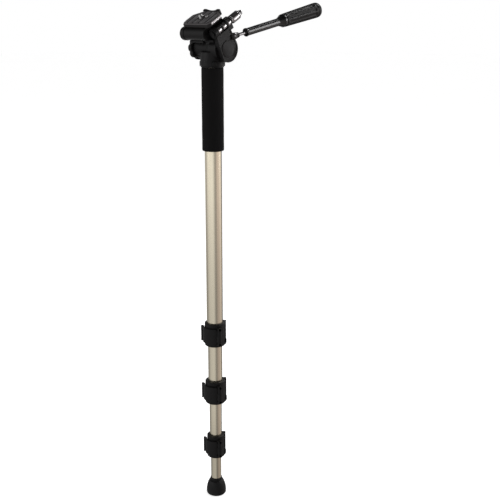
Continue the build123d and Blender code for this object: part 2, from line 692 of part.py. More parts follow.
def flip_knob():
    """Long lock nut with a groove near its end and a tapered nose."""
    low = KNUCKLE_ENDS[2] + KNUCKLE_GAP
    body_low = low + FLIP_COLLAR_LENGTH
    body_high = KNUCKLE_ENDS[2] + FLIP_COLLAR_LENGTH + FLIP_KNOB_LENGTH
    body = rod_z(FLIP_KNOB_RADIUS, body_low, body_high)
    groove = body_high - 2 * FLIP_GROOVE_WIDTH
    inner = FLIP_KNOB_RADIUS - FLIP_GROOVE_DEPTH
    body -= tube_z(FLIP_KNOB_RADIUS + OVERRUN, inner, groove, groove + FLIP_GROOVE_WIDTH)
    body += rod_z(FLIP_COLLAR_RADIUS, low, body_low)
    body += cone_z(CONE_RADIUS, CONE_TIP_RADIUS, body_high, body_high + CONE_LENGTH)
    body -= rod_z(BOLT_RADIUS + SEAT_FIT, low - OVERRUN, KNUCKLE_ENDS[2] + FLIP_KNOB_LENGTH)
    return Pos(FLIP_X, 0, FLIP_Z) * along_y(body)


# Flip platform
BARREL_LEFT = DECK_LEFT + RELEASE_LENGTH - DECK_CORNER


def at_barrel(shape):
    """Put a piece built along Z onto the barrel's axis, in the head's level frame."""
    return Pos(0, BARREL_Y, BARREL_Z) * along_x(shape)


def dovetail(half_top, y0, y1, z0, z1):
    """Dovetail prism along Y: it is widest at the bottom."""
    half_low = half_top + (z1 - z0) * tan(radians(DOVETAIL_SLOPE))
    points = [(-half_top, z1), (half_top, z1), (half_low, z0), (-half_low, z0)]
    front = Plane(origin=(0, y1, 0), x_dir=(1, 0, 0), z_dir=(0, -1, 0))
    return extrude(front * outline(points), y1 - y0)


def platform():
    """Flip platform: a block with a barrel front, a dovetail channel and a hinge lug."""
    deck = box(DECK_LEFT, DECK_RIGHT, BARREL_Y, DECK_BACK, DECK_BOTTOM, DECK_TOP)
    deck = fillet(deck.edges().filter_by(Axis.X).sort_by(Axis.Y)[-2:], DECK_CORNER)
    wide_left, wide_right = DECK_LEFT - OVERRUN, DECK_RIGHT + OVERRUN
    front, high = BARREL_Y - OVERRUN, DECK_TOP + OVERRUN
    deck -= box(wide_left, wide_right, front, BARREL_Y + DECK_CORNER, BARREL_Z, high)
    deck += at_barrel(rod_z(BARREL_RADIUS, BARREL_LEFT, DECK_RIGHT))
    clear = RELEASE_RADIUS + FACE_GAP
    deck -= box(wide_left, BARREL_LEFT, front, BARREL_Y + clear, DECK_BOTTOM - OVERRUN, high)
    low, high = DECK_TOP - CHANNEL_DEPTH, DECK_TOP + SEAT_FIT
    deck -= dovetail(CHANNEL_HALF_TOP, CHANNEL_FRONT, DECK_BACK + OVERRUN, low, high)
    deck += platform_lug()
    deck -= knuckle(BOLT_RADIUS + RUN_FIT, 0, DECK_BACK)
    shaft_end = BARREL_LEFT + RELEASE_SHAFT_LENGTH + FACE_GAP
    return deck - at_barrel(rod_z(RELEASE_SHAFT_RADIUS + RUN_FIT, BARREL_LEFT - OVERRUN, shaft_end))


def platform_lug():
    """Middle knuckle of the flip hinge, with its web."""
    first, second, _ = KNUCKLE_ENDS
    low, high = FLIP_Z - HINGE_WEB_HEIGHT / 2, FLIP_Z + HINGE_WEB_HEIGHT / 2
    lug = box(DECK_RIGHT - DECK_CORNER, FLIP_X, first + KNUCKLE_GAP, second, low, high)
    return lug + knuckle(KNUCKLE_RADIUS, first + KNUCKLE_GAP, second)


def release_knob():
    """Turning end of the barrel that locks the plate, with a raised finger grip."""
    right = BARREL_LEFT - FACE_GAP
    left = right - RELEASE_LENGTH
    knob = rod_z(RELEASE_RADIUS, left, right)
    knob = fillet(knob.edges().filter_by(GeomType.CIRCLE).sort_by(Axis.Z)[0], RELEASE_EDGE)
    half = RELEASE_GRIP_WIDTH / 2
    reach = RELEASE_GRIP_LENGTH
    grip = box(-reach, reach, -half, half, left - RELEASE_EDGE, left + RELEASE_EDGE)
    return at_barrel(knob + grip + rod_z(RELEASE_SHAFT_RADIUS, right, right + RELEASE_SHAFT_LENGTH))


# Quick-release plate
PLATE_BOTTOM = DECK_TOP + FACE_GAP
PLATE_TOP = PLATE_BOTTOM + PLATE_THICKNESS
PAD_TOP = PLATE_TOP + PAD_THICKNESS
PLATE_FLOOR = DECK_TOP - CHANNEL_DEPTH + DOVETAIL_FIT
INDEX_SEAT = PLATE_FLOOR + INDEX_TRAVEL + INDEX_HEAD_HEIGHT + FACE_GAP


def plate_outline(inset):
    """Plate seen from above: a rectangle with its corners cut off."""
    side = PLATE_HALF_WIDTH - inset
    front, back = PLATE_FRONT + inset, PLATE_BACK - inset
    front_x, front_y = side - PLATE_FRONT_CORNER_X, front + PLATE_FRONT_CORNER_Y
    back_x, back_y = side - PLATE_BACK_CORNER_X, back - PLATE_BACK_CORNER_Y
    right = [(front_x, front), (side, front_y), (side, back_y), (back_x, back)]
    left = [(-x, y) for x, y in reversed(right)]
    return Pos(PLATE_X, 0) * outline(right + left)


def plate_lip():
    """Back stop with two ears joined by a hollow edge."""
    high = PAD_TOP + LIP_HEIGHT
    dip = high - LIP_DIP
    inner = LIP_HALF_WIDTH - LIP_EAR
    lines = Polyline((inner, high), (LIP_HALF_WIDTH, high), (LIP_HALF_WIDTH, PLATE_BOTTOM),
                     (-LIP_HALF_WIDTH, PLATE_BOTTOM), (-LIP_HALF_WIDTH, high), (-inner, high))
    lines += ThreePointArc((-inner, high), (0, dip), (inner, high))
    front = Plane(origin=(0, PLATE_BACK + LIP_THICKNESS / 2, 0), x_dir=(1, 0, 0), z_dir=(0, -1, 0))
    lip = extrude(front * make_face(lines), LIP_THICKNESS)
    tips = lip.edges().filter_by(Axis.Y).group_by(Axis.Z)[-1]
    return fillet([edge for edge in tips if abs(edge.center().X) > inner + SEAT_FIT], LIP_CORNER)


def plate_base():
    """Metal plate with serrated sides, a back lip and a dovetail foot below."""
    body = Pos(0, 0, PLATE_BOTTOM) * extrude(plate_outline(0), PLATE_THICKNESS)
    body = chamfer(body.edges().group_by(Axis.Z)[-1], PLATE_BEVEL)
    first = PLATE_FRONT + PLATE_FRONT_CORNER_Y
    step = (PLATE_BACK - PLATE_BACK_CORNER_Y - first) / SERRATIONS
    for notch in range(SERRATIONS):
        at = first + step * (notch + HALF)
        for side in (-1, 1):
            cut = Box(2 * SERRATION_DEPTH, step / 2, 2 * PLATE_THICKNESS)
            body -= Pos(PLATE_X + side * PLATE_HALF_WIDTH, at, PLATE_TOP) * cut
    body += plate_lip()
    half_top = CHANNEL_HALF_TOP - DOVETAIL_FIT
    body += dovetail(half_top, CHANNEL_FRONT + DOVETAIL_FIT, DECK_BACK, PLATE_FLOOR, PLATE_BOTTOM)
    low = PLATE_FLOOR - OVERRUN
    hole = rod_z(SCREW_NECK_RADIUS + RUN_FIT, low, PAD_TOP)
    hole += rod_z(SCREW_HEAD_RADIUS + FACE_GAP, low, PLATE_FLOOR + SCREW_HEAD_HEIGHT + FACE_GAP)
    body -= Pos(SCREW_X, SCREW_Y, 0) * hole
    index = rod_z(INDEX_RADIUS + RUN_FIT, low, PAD_TOP)
    index += rod_z(INDEX_HEAD_RADIUS + FACE_GAP, low, INDEX_SEAT)
    return body - Pos(INDEX_X, INDEX_Y, 0) * index


def plate_pad():
    """Rubber pad with ribs that run front to back."""
    back = PLATE_BACK - LIP_THICKNESS / 2 - SEAT_FIT
    face = plate_outline(PAD_MARGIN)
    pad = extrude(face, PAD_THICKNESS - PAD_RIB_HEIGHT)
    left, right = PLATE_X - PLATE_HALF_WIDTH, PLATE_X + PLATE_HALF_WIDTH
    pad -= box(left, right, back, PLATE_BACK + OVERRUN, -OVERRUN, PAD_THICKNESS)
    step = 2 * (PLATE_HALF_WIDTH - PAD_MARGIN) / PAD_RIBS
    rib_at = [PLATE_X + step * (rib - (PAD_RIBS - 1) / 2) for rib in range(PAD_RIBS)]
    middle = (PLATE_FRONT + PLATE_BACK) / 2
    bar = Rectangle(PAD_RIB_WIDTH, PLATE_BACK - PLATE_FRONT)
    bars = Sketch() + [Pos(x, middle) * bar for x in rib_at]
    inner = plate_outline(PAD_MARGIN + PAD_RIB_HEIGHT)
    pad += Pos(0, 0, PAD_THICKNESS - 2 * PAD_RIB_HEIGHT) * extrude(bars & inner, 2 * PAD_RIB_HEIGHT)
    pad = Pos(0, 0, PLATE_TOP) * pad
    pad -= Pos(SCREW_X, SCREW_Y, 0) * rod_z(SCREW_COLLAR_RADIUS, PLATE_TOP - OVERRUN, PAD_TOP + OVERRUN)
    return pad - Pos(INDEX_X, INDEX_Y, 0) * rod_z(INDEX_HEAD_RADIUS, PLATE_TOP - OVERRUN, PAD_TOP + OVERRUN)


def camera_screw():
    """Quarter-inch screw, held in the plate by its slotted head and its thinner neck."""
    head_top = PLATE_FLOOR + SCREW_HEAD_HEIGHT
    screw = rod_z(SCREW_HEAD_RADIUS, PLATE_FLOOR, head_top)
    slot, half = SCREW_HEAD_RADIUS + OVERRUN, SCREW_SLOT / 2
    screw -= box(-slot, slot, -half, half, PLATE_FLOOR - OVERRUN, PLATE_FLOOR + SCREW_SLOT)
    shank = rod_z(SCREW_RADIUS, PAD_TOP, PAD_TOP + SCREW_SHOWN)
    shank = chamfer(shank.edges().group_by(Axis.Z)[-1], SCREW_POINT)
    neck = rod_z(SCREW_NECK_RADIUS, head_top, PAD_TOP)
    return Pos(SCREW_X, SCREW_Y, 0) * (screw + shank + neck)


def index_pin():
    """Spring pin that drops into the camera's base, with a flange below the plate."""
    flange_top = INDEX_SEAT - RUN_FIT
    pin = rod_z(INDEX_HEAD_RADIUS, flange_top - INDEX_HEAD_HEIGHT, flange_top)
    shank = rod_z(INDEX_RADIUS, flange_top, PAD_TOP + INDEX_SHOWN)
    return Pos(INDEX_X, INDEX_Y, 0) * (pin + fillet(shank.edges().group_by(Axis.Z)[-1], INDEX_RADIUS / 2))


# Pan handle, built along Z from the handle's datum on the cheek
FLARE_LOW = SLEEVE_START + SLEEVE_LENGTH
GRIP_LOW = FLARE_LOW + FLARE_LENGTH + HANDLE_COLLAR
GRIP_HIGH = GRIP_LOW + HANDLE_GRIP_LENGTH


def handle_rod():
    return rod_z(ROD_RADIUS, ROD_START, GRIP_HIGH - CAP_LENGTH)


def handle_sleeve():
    """Gloss sleeve with an end ring and a flare that meets the grip."""
    sleeve = rod_z(SLEEVE_RING_RADIUS, SLEEVE_START, SLEEVE_START + SLEEVE_RING)
    sleeve += cone_z(SLEEVE_RADIUS, SLEEVE_END_RADIUS, SLEEVE_START + SLEEVE_RING, FLARE_LOW)
    sleeve += cone_z(SLEEVE_END_RADIUS, FLARE_END_RADIUS, FLARE_LOW, FLARE_LOW + FLARE_LENGTH)
    sleeve += rod_z(HANDLE_COLLAR_RADIUS, FLARE_LOW + FLARE_LENGTH, GRIP_LOW)
    return sleeve - rod_z(ROD_RADIUS + SEAT_FIT, SLEEVE_START - OVERRUN, GRIP_LOW + OVERRUN)


def handle_grip():
    """Tapered grip with flutes along it."""
    grip = cone_z(HANDLE_GRIP_RADIUS, HANDLE_GRIP_END_RADIUS, GRIP_LOW, GRIP_HIGH)
    low = GRIP_LOW + HANDLE_FLUTE_MARGIN
    length = HANDLE_GRIP_LENGTH - 2 * HANDLE_FLUTE_MARGIN
    low_radius = HANDLE_GRIP_RADIUS + HANDLE_FLUTE_RADIUS - HANDLE_FLUTE_DEPTH
    growth = (HANDLE_GRIP_END_RADIUS - HANDLE_GRIP_RADIUS) / HANDLE_GRIP_LENGTH
    lean = Vector(growth, 0, 1).get_angle(Vector(0, 0, 1))
    cut = Pos(low_radius, 0, low) * Rot(0, lean, 0) * Cylinder(HANDLE_FLUTE_RADIUS, length, align=BASE)
    for flute in range(HANDLE_FLUTES):
        grip -= Rot(0, 0, FULL_TURN * flute / HANDLE_FLUTES) * cut
    return grip - rod_z(ROD_RADIUS + SEAT_FIT, GRIP_LOW - OVERRUN, GRIP_HIGH + OVERRUN)


def handle_cap():
    """Rounded cap on the grip's far end."""
    cap = rod_z(HANDLE_GRIP_END_RADIUS - CAP_SEAM, GRIP_HIGH, GRIP_HIGH + CAP_SEAM)
    dome = rod_z(HANDLE_GRIP_END_RADIUS, GRIP_HIGH + CAP_SEAM, GRIP_HIGH + CAP_LENGTH)
    return cap + fillet(dome.edges().group_by(Axis.Z)[-1], CAP_ROUND)


def build_legs():
    keep("foam_grip", foam_grip())
    keep("main_tube", main_tube())
    keep("tube_plug", tube_plug())
    keep("head_stud", head_stud())
    for section in LEGS:
        keep(f"leg_{section}_tube", leg_tube(section))
        keep(f"leg_{section}_bush", leg_bush(section))
    for number in LOCKS:
        keep(f"lock_{number}_collar", place_lock(lock_collar(number), number))
        keep(f"lock_{number}_shoe", place_lock(lock_shoe(number), number))
        keep(f"lock_{number}_pin", place_lock(lock_pin(number), number))
        keep(f"lock_{number}_lever", place_lock(lock_lever(number), number))
    keep("foot_plug", foot_plug())
    keep("rubber_foot", rubber_foot())


def build_head():
    lift = Pos(0, 0, GRIP_TOP)
    keep("pan_base", lift * pan_base())
    keep("pan_washer", lift * pan_washer())
    keep("pan_body", lift * pan_body())
    keep("pan_lock_screw", lift * pan_lock())
    for name, shape in (
        ("tilt_bracket", tilt_bracket()),
        ("cheek_cover", cheek_cover()),
        ("tilt_axle", tilt_axle()),
        ("tilt_washer", tilt_washer()),
        ("tilt_knob", tilt_knob()),
        ("flip_bolt", flip_bolt()),
        ("flip_knob", flip_knob()),
        ("platform", platform()),
        ("release_knob", release_knob()),
        ("plate_base", plate_base()),
        ("plate_pad", plate_pad()),
        ("camera_screw", camera_screw()),
        ("index_pin", index_pin()),
        ("handle_rod", handle_frame(handle_rod())),
        ("handle_sleeve", handle_frame(handle_sleeve())),
        ("handle_grip", handle_frame(handle_grip())),
        ("handle_cap", handle_frame(handle_cap())),
    ):
        keep(name, place_head(shape))


build_legs()
build_head()
os.makedirs("parts", exist_ok=True)
for node, shape in PARTS.items():
    export_step(shape, f"parts/{node}.step")
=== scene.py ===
"""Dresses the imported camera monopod: tubes, grip, locks, foot, head, plate and handle.

Sizes in the profiles are millimetres, and each surface is turned into metres as it is made.
"""

import json
from math import pi, radians

import bmesh
import bpy
import numpy as np
from mathutils import Euler, Matrix, Vector

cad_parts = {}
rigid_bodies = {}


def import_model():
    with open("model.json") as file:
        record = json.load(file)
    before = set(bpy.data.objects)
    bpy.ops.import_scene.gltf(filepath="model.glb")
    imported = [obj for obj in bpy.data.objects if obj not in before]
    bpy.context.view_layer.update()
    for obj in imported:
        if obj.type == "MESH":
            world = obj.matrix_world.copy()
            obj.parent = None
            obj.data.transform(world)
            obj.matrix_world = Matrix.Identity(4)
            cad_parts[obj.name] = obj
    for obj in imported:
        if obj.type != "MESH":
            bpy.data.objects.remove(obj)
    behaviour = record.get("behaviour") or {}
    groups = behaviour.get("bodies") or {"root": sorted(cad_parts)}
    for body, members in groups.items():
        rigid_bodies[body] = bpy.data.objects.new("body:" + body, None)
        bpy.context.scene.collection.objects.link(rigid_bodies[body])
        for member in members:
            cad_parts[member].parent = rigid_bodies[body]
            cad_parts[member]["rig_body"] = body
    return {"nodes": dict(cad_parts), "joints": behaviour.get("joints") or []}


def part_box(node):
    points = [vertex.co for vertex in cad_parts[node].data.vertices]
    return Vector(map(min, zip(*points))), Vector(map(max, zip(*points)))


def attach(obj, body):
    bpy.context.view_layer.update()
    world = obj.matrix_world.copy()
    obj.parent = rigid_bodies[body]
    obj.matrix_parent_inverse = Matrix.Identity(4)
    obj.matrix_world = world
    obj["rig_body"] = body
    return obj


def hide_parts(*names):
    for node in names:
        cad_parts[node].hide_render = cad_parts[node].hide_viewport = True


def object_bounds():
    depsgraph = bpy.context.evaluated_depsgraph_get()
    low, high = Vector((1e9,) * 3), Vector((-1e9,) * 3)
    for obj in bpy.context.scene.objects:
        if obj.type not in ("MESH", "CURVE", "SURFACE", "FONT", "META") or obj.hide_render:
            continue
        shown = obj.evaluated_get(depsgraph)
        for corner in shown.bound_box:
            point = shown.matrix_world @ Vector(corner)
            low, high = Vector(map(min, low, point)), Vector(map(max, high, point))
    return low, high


bl_info = {
    "name": "Monopod dresser",
    "version": (1, 0, 0),
    "blender": (4, 5, 0),
    "location": "View3D > Sidebar > Monopod",
    "description": "Surfaces, finishes and stage of a camera monopod",
    "category": "Object",
}

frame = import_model()
CAD_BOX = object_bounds()
BODY_OF = {node: piece["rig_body"] for node, piece in frame["nodes"].items()}
JOINTS = {joint["name"]: joint for joint in frame["joints"]}
MM = 0.001
LOCKS = (1, 2, 3)
SMOOTH_ANGLE = radians(40)
FLAT_ANGLE = radians(0.6)
AROUND = 96
# Metres within which points are one: the seams of new surfaces, and corners of the CAD pieces; and how
# far below a face a point may lie and still count as on it
SEAM, SAME_POINT, JUST_BELOW = 1e-7, 2e-6, 1e-5

# The tilted head, in metres: tops of the pad and the plate, and the camera screw beside and behind its origin
PAD_TOP, PLATE_TOP = 0.0469, 0.0457
SCREW_ASIDE, SCREW_BACK = -0.003, 0.002
# The pad's grooves, in metres: their places across, depth, half the width of the floor, and run of a wall
PAD_GROOVES = (-0.0191, -0.0078, 0.004, 0.0169)
GROOVE_DEPTH, GROOVE_HALF, GROOVE_WALL = 0.0006, 0.0006, 0.0002
# The plate's middle beside the head's, in millimetres like the profiles
PLATE_ASIDE = -1.7
# The ears of a lever's pin, in metres: their radius, and the black discs of painted shade on them above and
# below the joint's point
EAR_RADIUS = 0.0034
EAR_SHADE_DISCS = (("upper", 0.0122), ("lower", -0.012))

# Colour and roughness of the plated and blacked metals; the last is the near-black of painted shade on the
# locks' ears
METALS = {
    "dark_chrome": ((0.3, 0.295, 0.3), 0.06),
    "smoked_chrome": ((0.05, 0.049, 0.05), 0.2),
    "plated_rod": ((0.36, 0.36, 0.37), 0.1),
    "blacked_steel": ((0.02, 0.019, 0.019), 0.3),
    "oiled_black": ((0.0015, 0.0015, 0.0015), 0.3),
}

# The camera, in metres and degrees
AWAY = Vector((1, -1, 0)).normalized()
ASIDE = Vector((1, 1, 0)).normalized()
EYE = AWAY * 1.240 + ASIDE * 0.0540 + Vector((0, 0, 0.14185))
LENS, SENSOR = 61.63, 36.0
LOOKS_DOWN, COMPASS, ROLL = 15.85, 45, 0.134

# Lamps: name, place and target in metres, width, height, watts
LAMPS = (
    ("key_left", (-0.9, -2.1, 0.9), (0.0, 0.0, -0.15), 1.6, 2.2, 20.0),
    ("strip_right", (1.43, 1.43, 0.5), (0.0, 0.0, 0.1), 0.3, 1.2, 13.5),
    ("rim_right", (-0.17, 2.0, 0.2), (0.0, 0.0, 0.1), 0.5, 0.4, 4.5),
    ("back_top", (0.1, 1.35, 1.35), (0.0, 0.0, 0.0), 0.35, 0.35, 12.0),
)

# Compass angle from the camera's side, light there, and how warm it is: on the floor, and standing round it
LYING = (
    (-180, 1.05, 0.0), (-150, 0.95, 0.0), (-128, 0.45, 0.0), (-110, 0.5, 0.0), (-88, 0.95, 0.0),
    (-62, 1.12, 0.0), (-12, 1.22, 0.0), (3, 1.05, 0.0), (15, 0.6, 0.01), (26, 0.45, 0.03), (37, 0.47, 0.06),
    (50, 0.72, 0.13), (78, 0.75, 0.13), (96, 1.0, 0.1), (120, 0.95, 0.06), (136, 0.15, 0.0),
    (168, 0.08, 0.0), (180, 1.05, 0.0),
)
STANDING = (
    (-180, 1.0, 0.0), (-130, 0.5, 0.0), (-95, 1.0, 0.0), (-12, 1.1, 0.0), (8, 0.5, 0.0), (40, 0.4, 0.02),
    (64, 0.9, 0.08), (90, 1.1, 0.03), (150, 1.1, 0.0), (180, 1.0, 0.0),
)
# The mirrored floor: its light at the foot, and where it rises with distance, and by how much
LIGHT_AT_FOOT = 0.5
LIGHT_RISES = ((0.12, 0.24, 0.16), (0.6, 2.5, 0.42))
# The seen floor's own light, the plain room's for what it lights and what is seen, and the dark ceiling
SEEN_FLOOR = 0.62
ROOM_LIGHT, ROOM_SEEN = 0.42, 0.58
CEILING_FROM, CEILING_TO, CEILING_DARK = 0.3, 0.6, 0.93


# Shader maths
class Wire:
    """An output socket that builds Math nodes when it is used in an expression."""

    def __init__(self, finish, socket):
        self.finish = finish
        self.socket = socket

    def math(self, operation, first, second):
        return self.finish.node("ShaderNodeMath", {"operation": operation}, {0: first, 1: second})

    def size(self):
        return self.math("ABSOLUTE", self, 0.0)

    def __add__(self, other):
        return self.math("ADD", self, other)

    def __sub__(self, other):
        return self.math("SUBTRACT", self, other)

    def __rsub__(self, other):
        return self.math("SUBTRACT", other, self)

    def __mul__(self, other):
        return self.math("MULTIPLY", self, other)

    __radd__ = __add__
    __rmul__ = __mul__


class Finish:
    """One node tree, of a material or of the world, written as expressions."""

    def __init__(self, owner):
        self.owner = owner
        owner.use_nodes = True
        self.tree = owner.node_tree
        self.tree.nodes.clear()

    def node(self, kind, settings=None, inputs=None, output=0):
        """One node: its settings first, then a value or a link for each of its sockets."""
        made = self.tree.nodes.new(kind)
        for key, value in (settings or {}).items():
            setattr(made, key, value)
        for key, value in (inputs or {}).items():
            if isinstance(value, Wire):
                self.tree.links.new(value.socket, made.inputs[key])
            else:
                made.inputs[key].default_value = value
        return Wire(self, made.outputs[output]) if made.outputs else made

    def place(self, stretch=(1, 1, 1), output="Object"):
        """Texture place, scaled along the axes."""
        at = self.node("ShaderNodeTexCoord", output=output)
        return self.node("ShaderNodeMapping", inputs={"Vector": at, "Scale": stretch})

    def noise(self, scale, stretch=(1, 1, 1), detail=2.0):
        """Noise between 0 and 1, its grain stretched along the object's axes."""
        inputs = {"Vector": self.place(stretch), "Scale": scale, "Detail": detail}
        return self.node("ShaderNodeTexNoise", inputs=inputs)

    def cells(self, scale):
        """Distance to the nearest of many scattered points."""
        return self.node("ShaderNodeTexVoronoi", inputs={"Vector": self.place(), "Scale": scale})

    def ramp(self, value, low, high):
        """Value spread so that low becomes 0 and high becomes 1, and cut off there."""
        inputs = {"Value": value, "From Min": low, "From Max": high}
        return self.node("ShaderNodeMapRange", {"clamp": True}, inputs)

    def tint(self, amount, first, second):
        """A colour between two colours, each written out or a wire."""
        first, second = (end if isinstance(end, Wire) else (*end, 1) for end in (first, second))
        return self.node("ShaderNodeMix", {"data_type": "RGBA"}, {0: amount, 6: first, 7: second}, output=2)

    def along(self, direction, axis):
        """How far a direction reaches along an axis."""
        inputs = {0: direction, 1: axis}
        return self.node("ShaderNodeVectorMath", {"operation": "DOT_PRODUCT"}, inputs, output=1)

    def bump(self, height, depth):
        """Normal from a height map whose depth is in metres."""
        return self.node("ShaderNodeBump", inputs={"Height": height, "Distance": depth})

    def rays(self, *kinds):
        """1 for rays of the named kinds and 0 for others."""
        path = self.node("ShaderNodeLightPath").socket.node
        seen = [Wire(self, path.outputs[f"Is {kind} Ray"]) for kind in kinds]
        return self.ramp(sum(seen[1:], seen[0]), 0, 1)

    def studio(self, direction, stops):
        """What lies or stands round the object, by compass angle: soft boxes, a flag and dark cloths."""
        sides = {0: self.along(direction, ASIDE), 1: self.along(direction, AWAY)}
        angle = self.node("ShaderNodeMath", {"operation": "ARCTAN2"}, sides)
        wheel = self.node("ShaderNodeValToRGB", inputs={"Fac": angle * (0.5 / pi) + 0.5})
        ramp = wheel.socket.node.color_ramp
        for _ in range(len(stops) - 2):
            ramp.elements.new(0.5)
        for stop, (degrees, light, warmth) in zip(ramp.elements, stops):
            stop.position = degrees / 360 + 0.5
            stop.color = (light * (1 + warmth), light, light * (1 - 0.3 * warmth), 1)
        return wheel

    def surface(self, **sockets):
        """Principled shader on the material's output; an underscore stands for a space."""
        inputs = {key.replace("_", " "): value for key, value in sockets.items()}
        shader = self.node("ShaderNodeBsdfPrincipled", inputs=inputs)
        self.node("ShaderNodeOutputMaterial", inputs={"Surface": shader})
        return self.owner


def new_finish(name):
    return Finish(bpy.data.materials.new(name))


def shade(colour, factor):
    """A colour made lighter or darker."""
    return tuple(min(1.0, part * factor) for part in colour)


def anodised(colours):
    """Satin champagne anodising over drawn tube: faint lines run along the tube."""
    make = new_finish("champagne_anodised")
    lines = make.noise(1.0, (2600, 2600, 9), 2.0)
    cloud = make.noise(22.0, (1, 1, 0.35), 3.0)
    dull, bright = shade(colours.champagne, 0.94), shade(colours.champagne, 1.05)
    return make.surface(
        Base_Color=make.tint(cloud * 0.6 + lines * 0.4, dull, bright), Metallic=1.0,
        Roughness=0.16 + lines * 0.1 + cloud * 0.04, Normal=make.bump(lines, 0.000012), IOR=1.5,
    )


def moulded(name, colour, rough, grain, depth):
    """Injection-moulded black plastic: fine spark-eroded grain and slightly uneven gloss."""
    make = new_finish(name)
    fine = make.cells(grain)
    cloud = make.noise(60.0, detail=3.0)
    return make.surface(
        Base_Color=make.tint(cloud, shade(colour, 0.85), shade(colour, 1.2)),
        Roughness=rough - 0.06 + cloud * 0.12, Normal=make.bump(fine, depth),
        Specular_IOR_Level=0.14,
    )


def painted(colours):
    """Black satin paint on a casting: a faint orange peel."""
    make = new_finish("cast_black_paint")
    peel = make.noise(900.0, detail=1.0)
    cloud = make.noise(45.0, detail=4.0)
    return make.surface(
        Base_Color=make.tint(cloud, shade(colours.head, 0.85), shade(colours.head, 1.2)),
        Roughness=0.36 + cloud * 0.12, Normal=make.bump(peel, 0.00003),
        Specular_IOR_Level=0.12,
    )


def foam_rubber(colours):
    """Closed-cell foam: a matt skin of tiny cells with a few deeper pores."""
    make = new_finish("closed_cell_foam")
    cell = make.cells(1500.0)
    pore = make.ramp(make.noise(420.0, detail=3.0), 0.35, 0.5)
    return make.surface(
        Base_Color=make.tint(cell * 0.7 + pore * 0.3, shade(colours.foam, 0.7), shade(colours.foam, 1.35)),
        Roughness=0.86 + pore * 0.08, Normal=make.bump(cell * 0.6 + pore * 0.4, 0.00012),
        Specular_IOR_Level=0.12,
    )


def soft_rubber(colours):
    """Smooth moulded rubber with a dusty bloom in places."""
    make = new_finish("matt_foot_rubber")
    bloom = make.noise(120.0, detail=4.0)
    fine = make.noise(2400.0, detail=1.0)
    return make.surface(
        Base_Color=make.tint(bloom, shade(colours.rubber, 0.8), shade(colours.rubber, 1.35)),
        Roughness=0.45 + bloom * 0.12, Normal=make.bump(fine, 0.00002), Specular_IOR_Level=0.16,
    )


def ribbed_rubber(colours):
    """Rubber of the plate's pad: dull ribs, with painted shade darkening the grooves between them."""
    make = new_finish("ribbed_pad_rubber")
    bloom = make.noise(160.0, detail=4.0)
    across = make.node("ShaderNodeSeparateXYZ", inputs={"Vector": make.place()})
    colour = make.tint(bloom, shade(colours.pad, 0.8), shade(colours.pad, 1.3))
    for groove in PAD_GROOVES:
        # painted shade: the rubber's colour falls to near black inside each groove
        painted_groove_shade = make.ramp((across - groove).size(), 0.0007, 0.0012)
        colour = make.tint(painted_groove_shade, shade(colours.pad, 0.09), colour)
    return make.surface(Base_Color=colour, Roughness=0.5 + bloom * 0.12, Specular_IOR_Level=0.16)


def rimmed_plate(colours):
    """Dull black plate whose top edge, round the pad, carries a painted highlight."""
    make = new_finish("plate_plastic")
    up = Vector(JOINTS["camera_screw_turn"]["axis"])
    rim = in_head().translation.dot(up) + PLATE_TOP
    height = make.along(make.place(), up)
    cloud = make.noise(60.0, detail=3.0)
    # painted highlight: a band much lighter than the plate along its top edge, round the pad
    painted_rim_highlight = make.ramp(height, rim - 0.0009, rim - 0.0004) * make.ramp(height, rim + 0.0008, rim + 0.0004)
    dull = make.tint(cloud, shade(colours.plastic, 2.9), shade(colours.plastic, 4.0))
    return make.surface(
        Base_Color=make.tint(painted_rim_highlight, dull, shade(colours.plastic, 17)), Roughness=0.44 + cloud * 0.12,
        Normal=make.bump(make.cells(1500.0), 0.00004), Specular_IOR_Level=0.14,
    )


def polished(name, colour, rough):
    """Plated metal with hair-fine handling marks."""
    make = new_finish(name)
    marks = make.noise(300.0, (1, 6, 1), 6.0)
    return make.surface(
        Base_Color=make.tint(marks, shade(colour, 0.96), shade(colour, 1.03)),
        Metallic=1.0, Roughness=rough + marks * 0.08,
    )


def turned_steel():
    """Turned steel: fine tool rings."""
    make = new_finish("turned_steel")
    rings = make.noise(1.0, (300, 300, 5200), 2.0)
    return make.surface(
        Base_Color=make.tint(rings, (0.24, 0.236, 0.232), (0.34, 0.336, 0.33)),
        Metallic=1.0, Roughness=0.28 + rings * 0.16, Normal=make.bump(rings, 0.00001),
    )


def gloss_black(colours):
    """Polished black tube with a clear coat."""
    make = new_finish("black_lacquer")
    marks = make.noise(240.0, (1, 1, 1), 5.0)
    return make.surface(
        Base_Color=make.tint(marks, shade(colours.gloss, 0.9), shade(colours.gloss, 1.15)),
        Roughness=0.24 + marks * 0.03, Coat_Weight=0.13, Coat_Roughness=0.14, Specular_IOR_Level=0.3,
    )


def nylon():
    """Natural nylon of the guide bushes and brake shoes."""
    make = new_finish("natural_nylon")
    cloud = make.noise(150.0, detail=3.0)
    return make.surface(
        Base_Color=make.tint(cloud, (0.66, 0.65, 0.6), (0.76, 0.75, 0.71)),
        Roughness=0.45 + cloud * 0.1,
    )


# Surfaces
def grid_faces(rows, columns, wraps):
    """Quads between neighbouring points of a grid, joined end to end where it wraps."""
    down = np.arange(rows if wraps[0] else rows - 1)
    across = np.arange(columns if wraps[1] else columns - 1)
    i, j = np.meshgrid(down, across, indexing="ij")
    below, right = (i + 1) % rows, (j + 1) % columns
    corners = (i * columns + j, i * columns + right, below * columns + right, below * columns + j)
    return np.stack(corners, axis=-1).reshape(-1, 4)


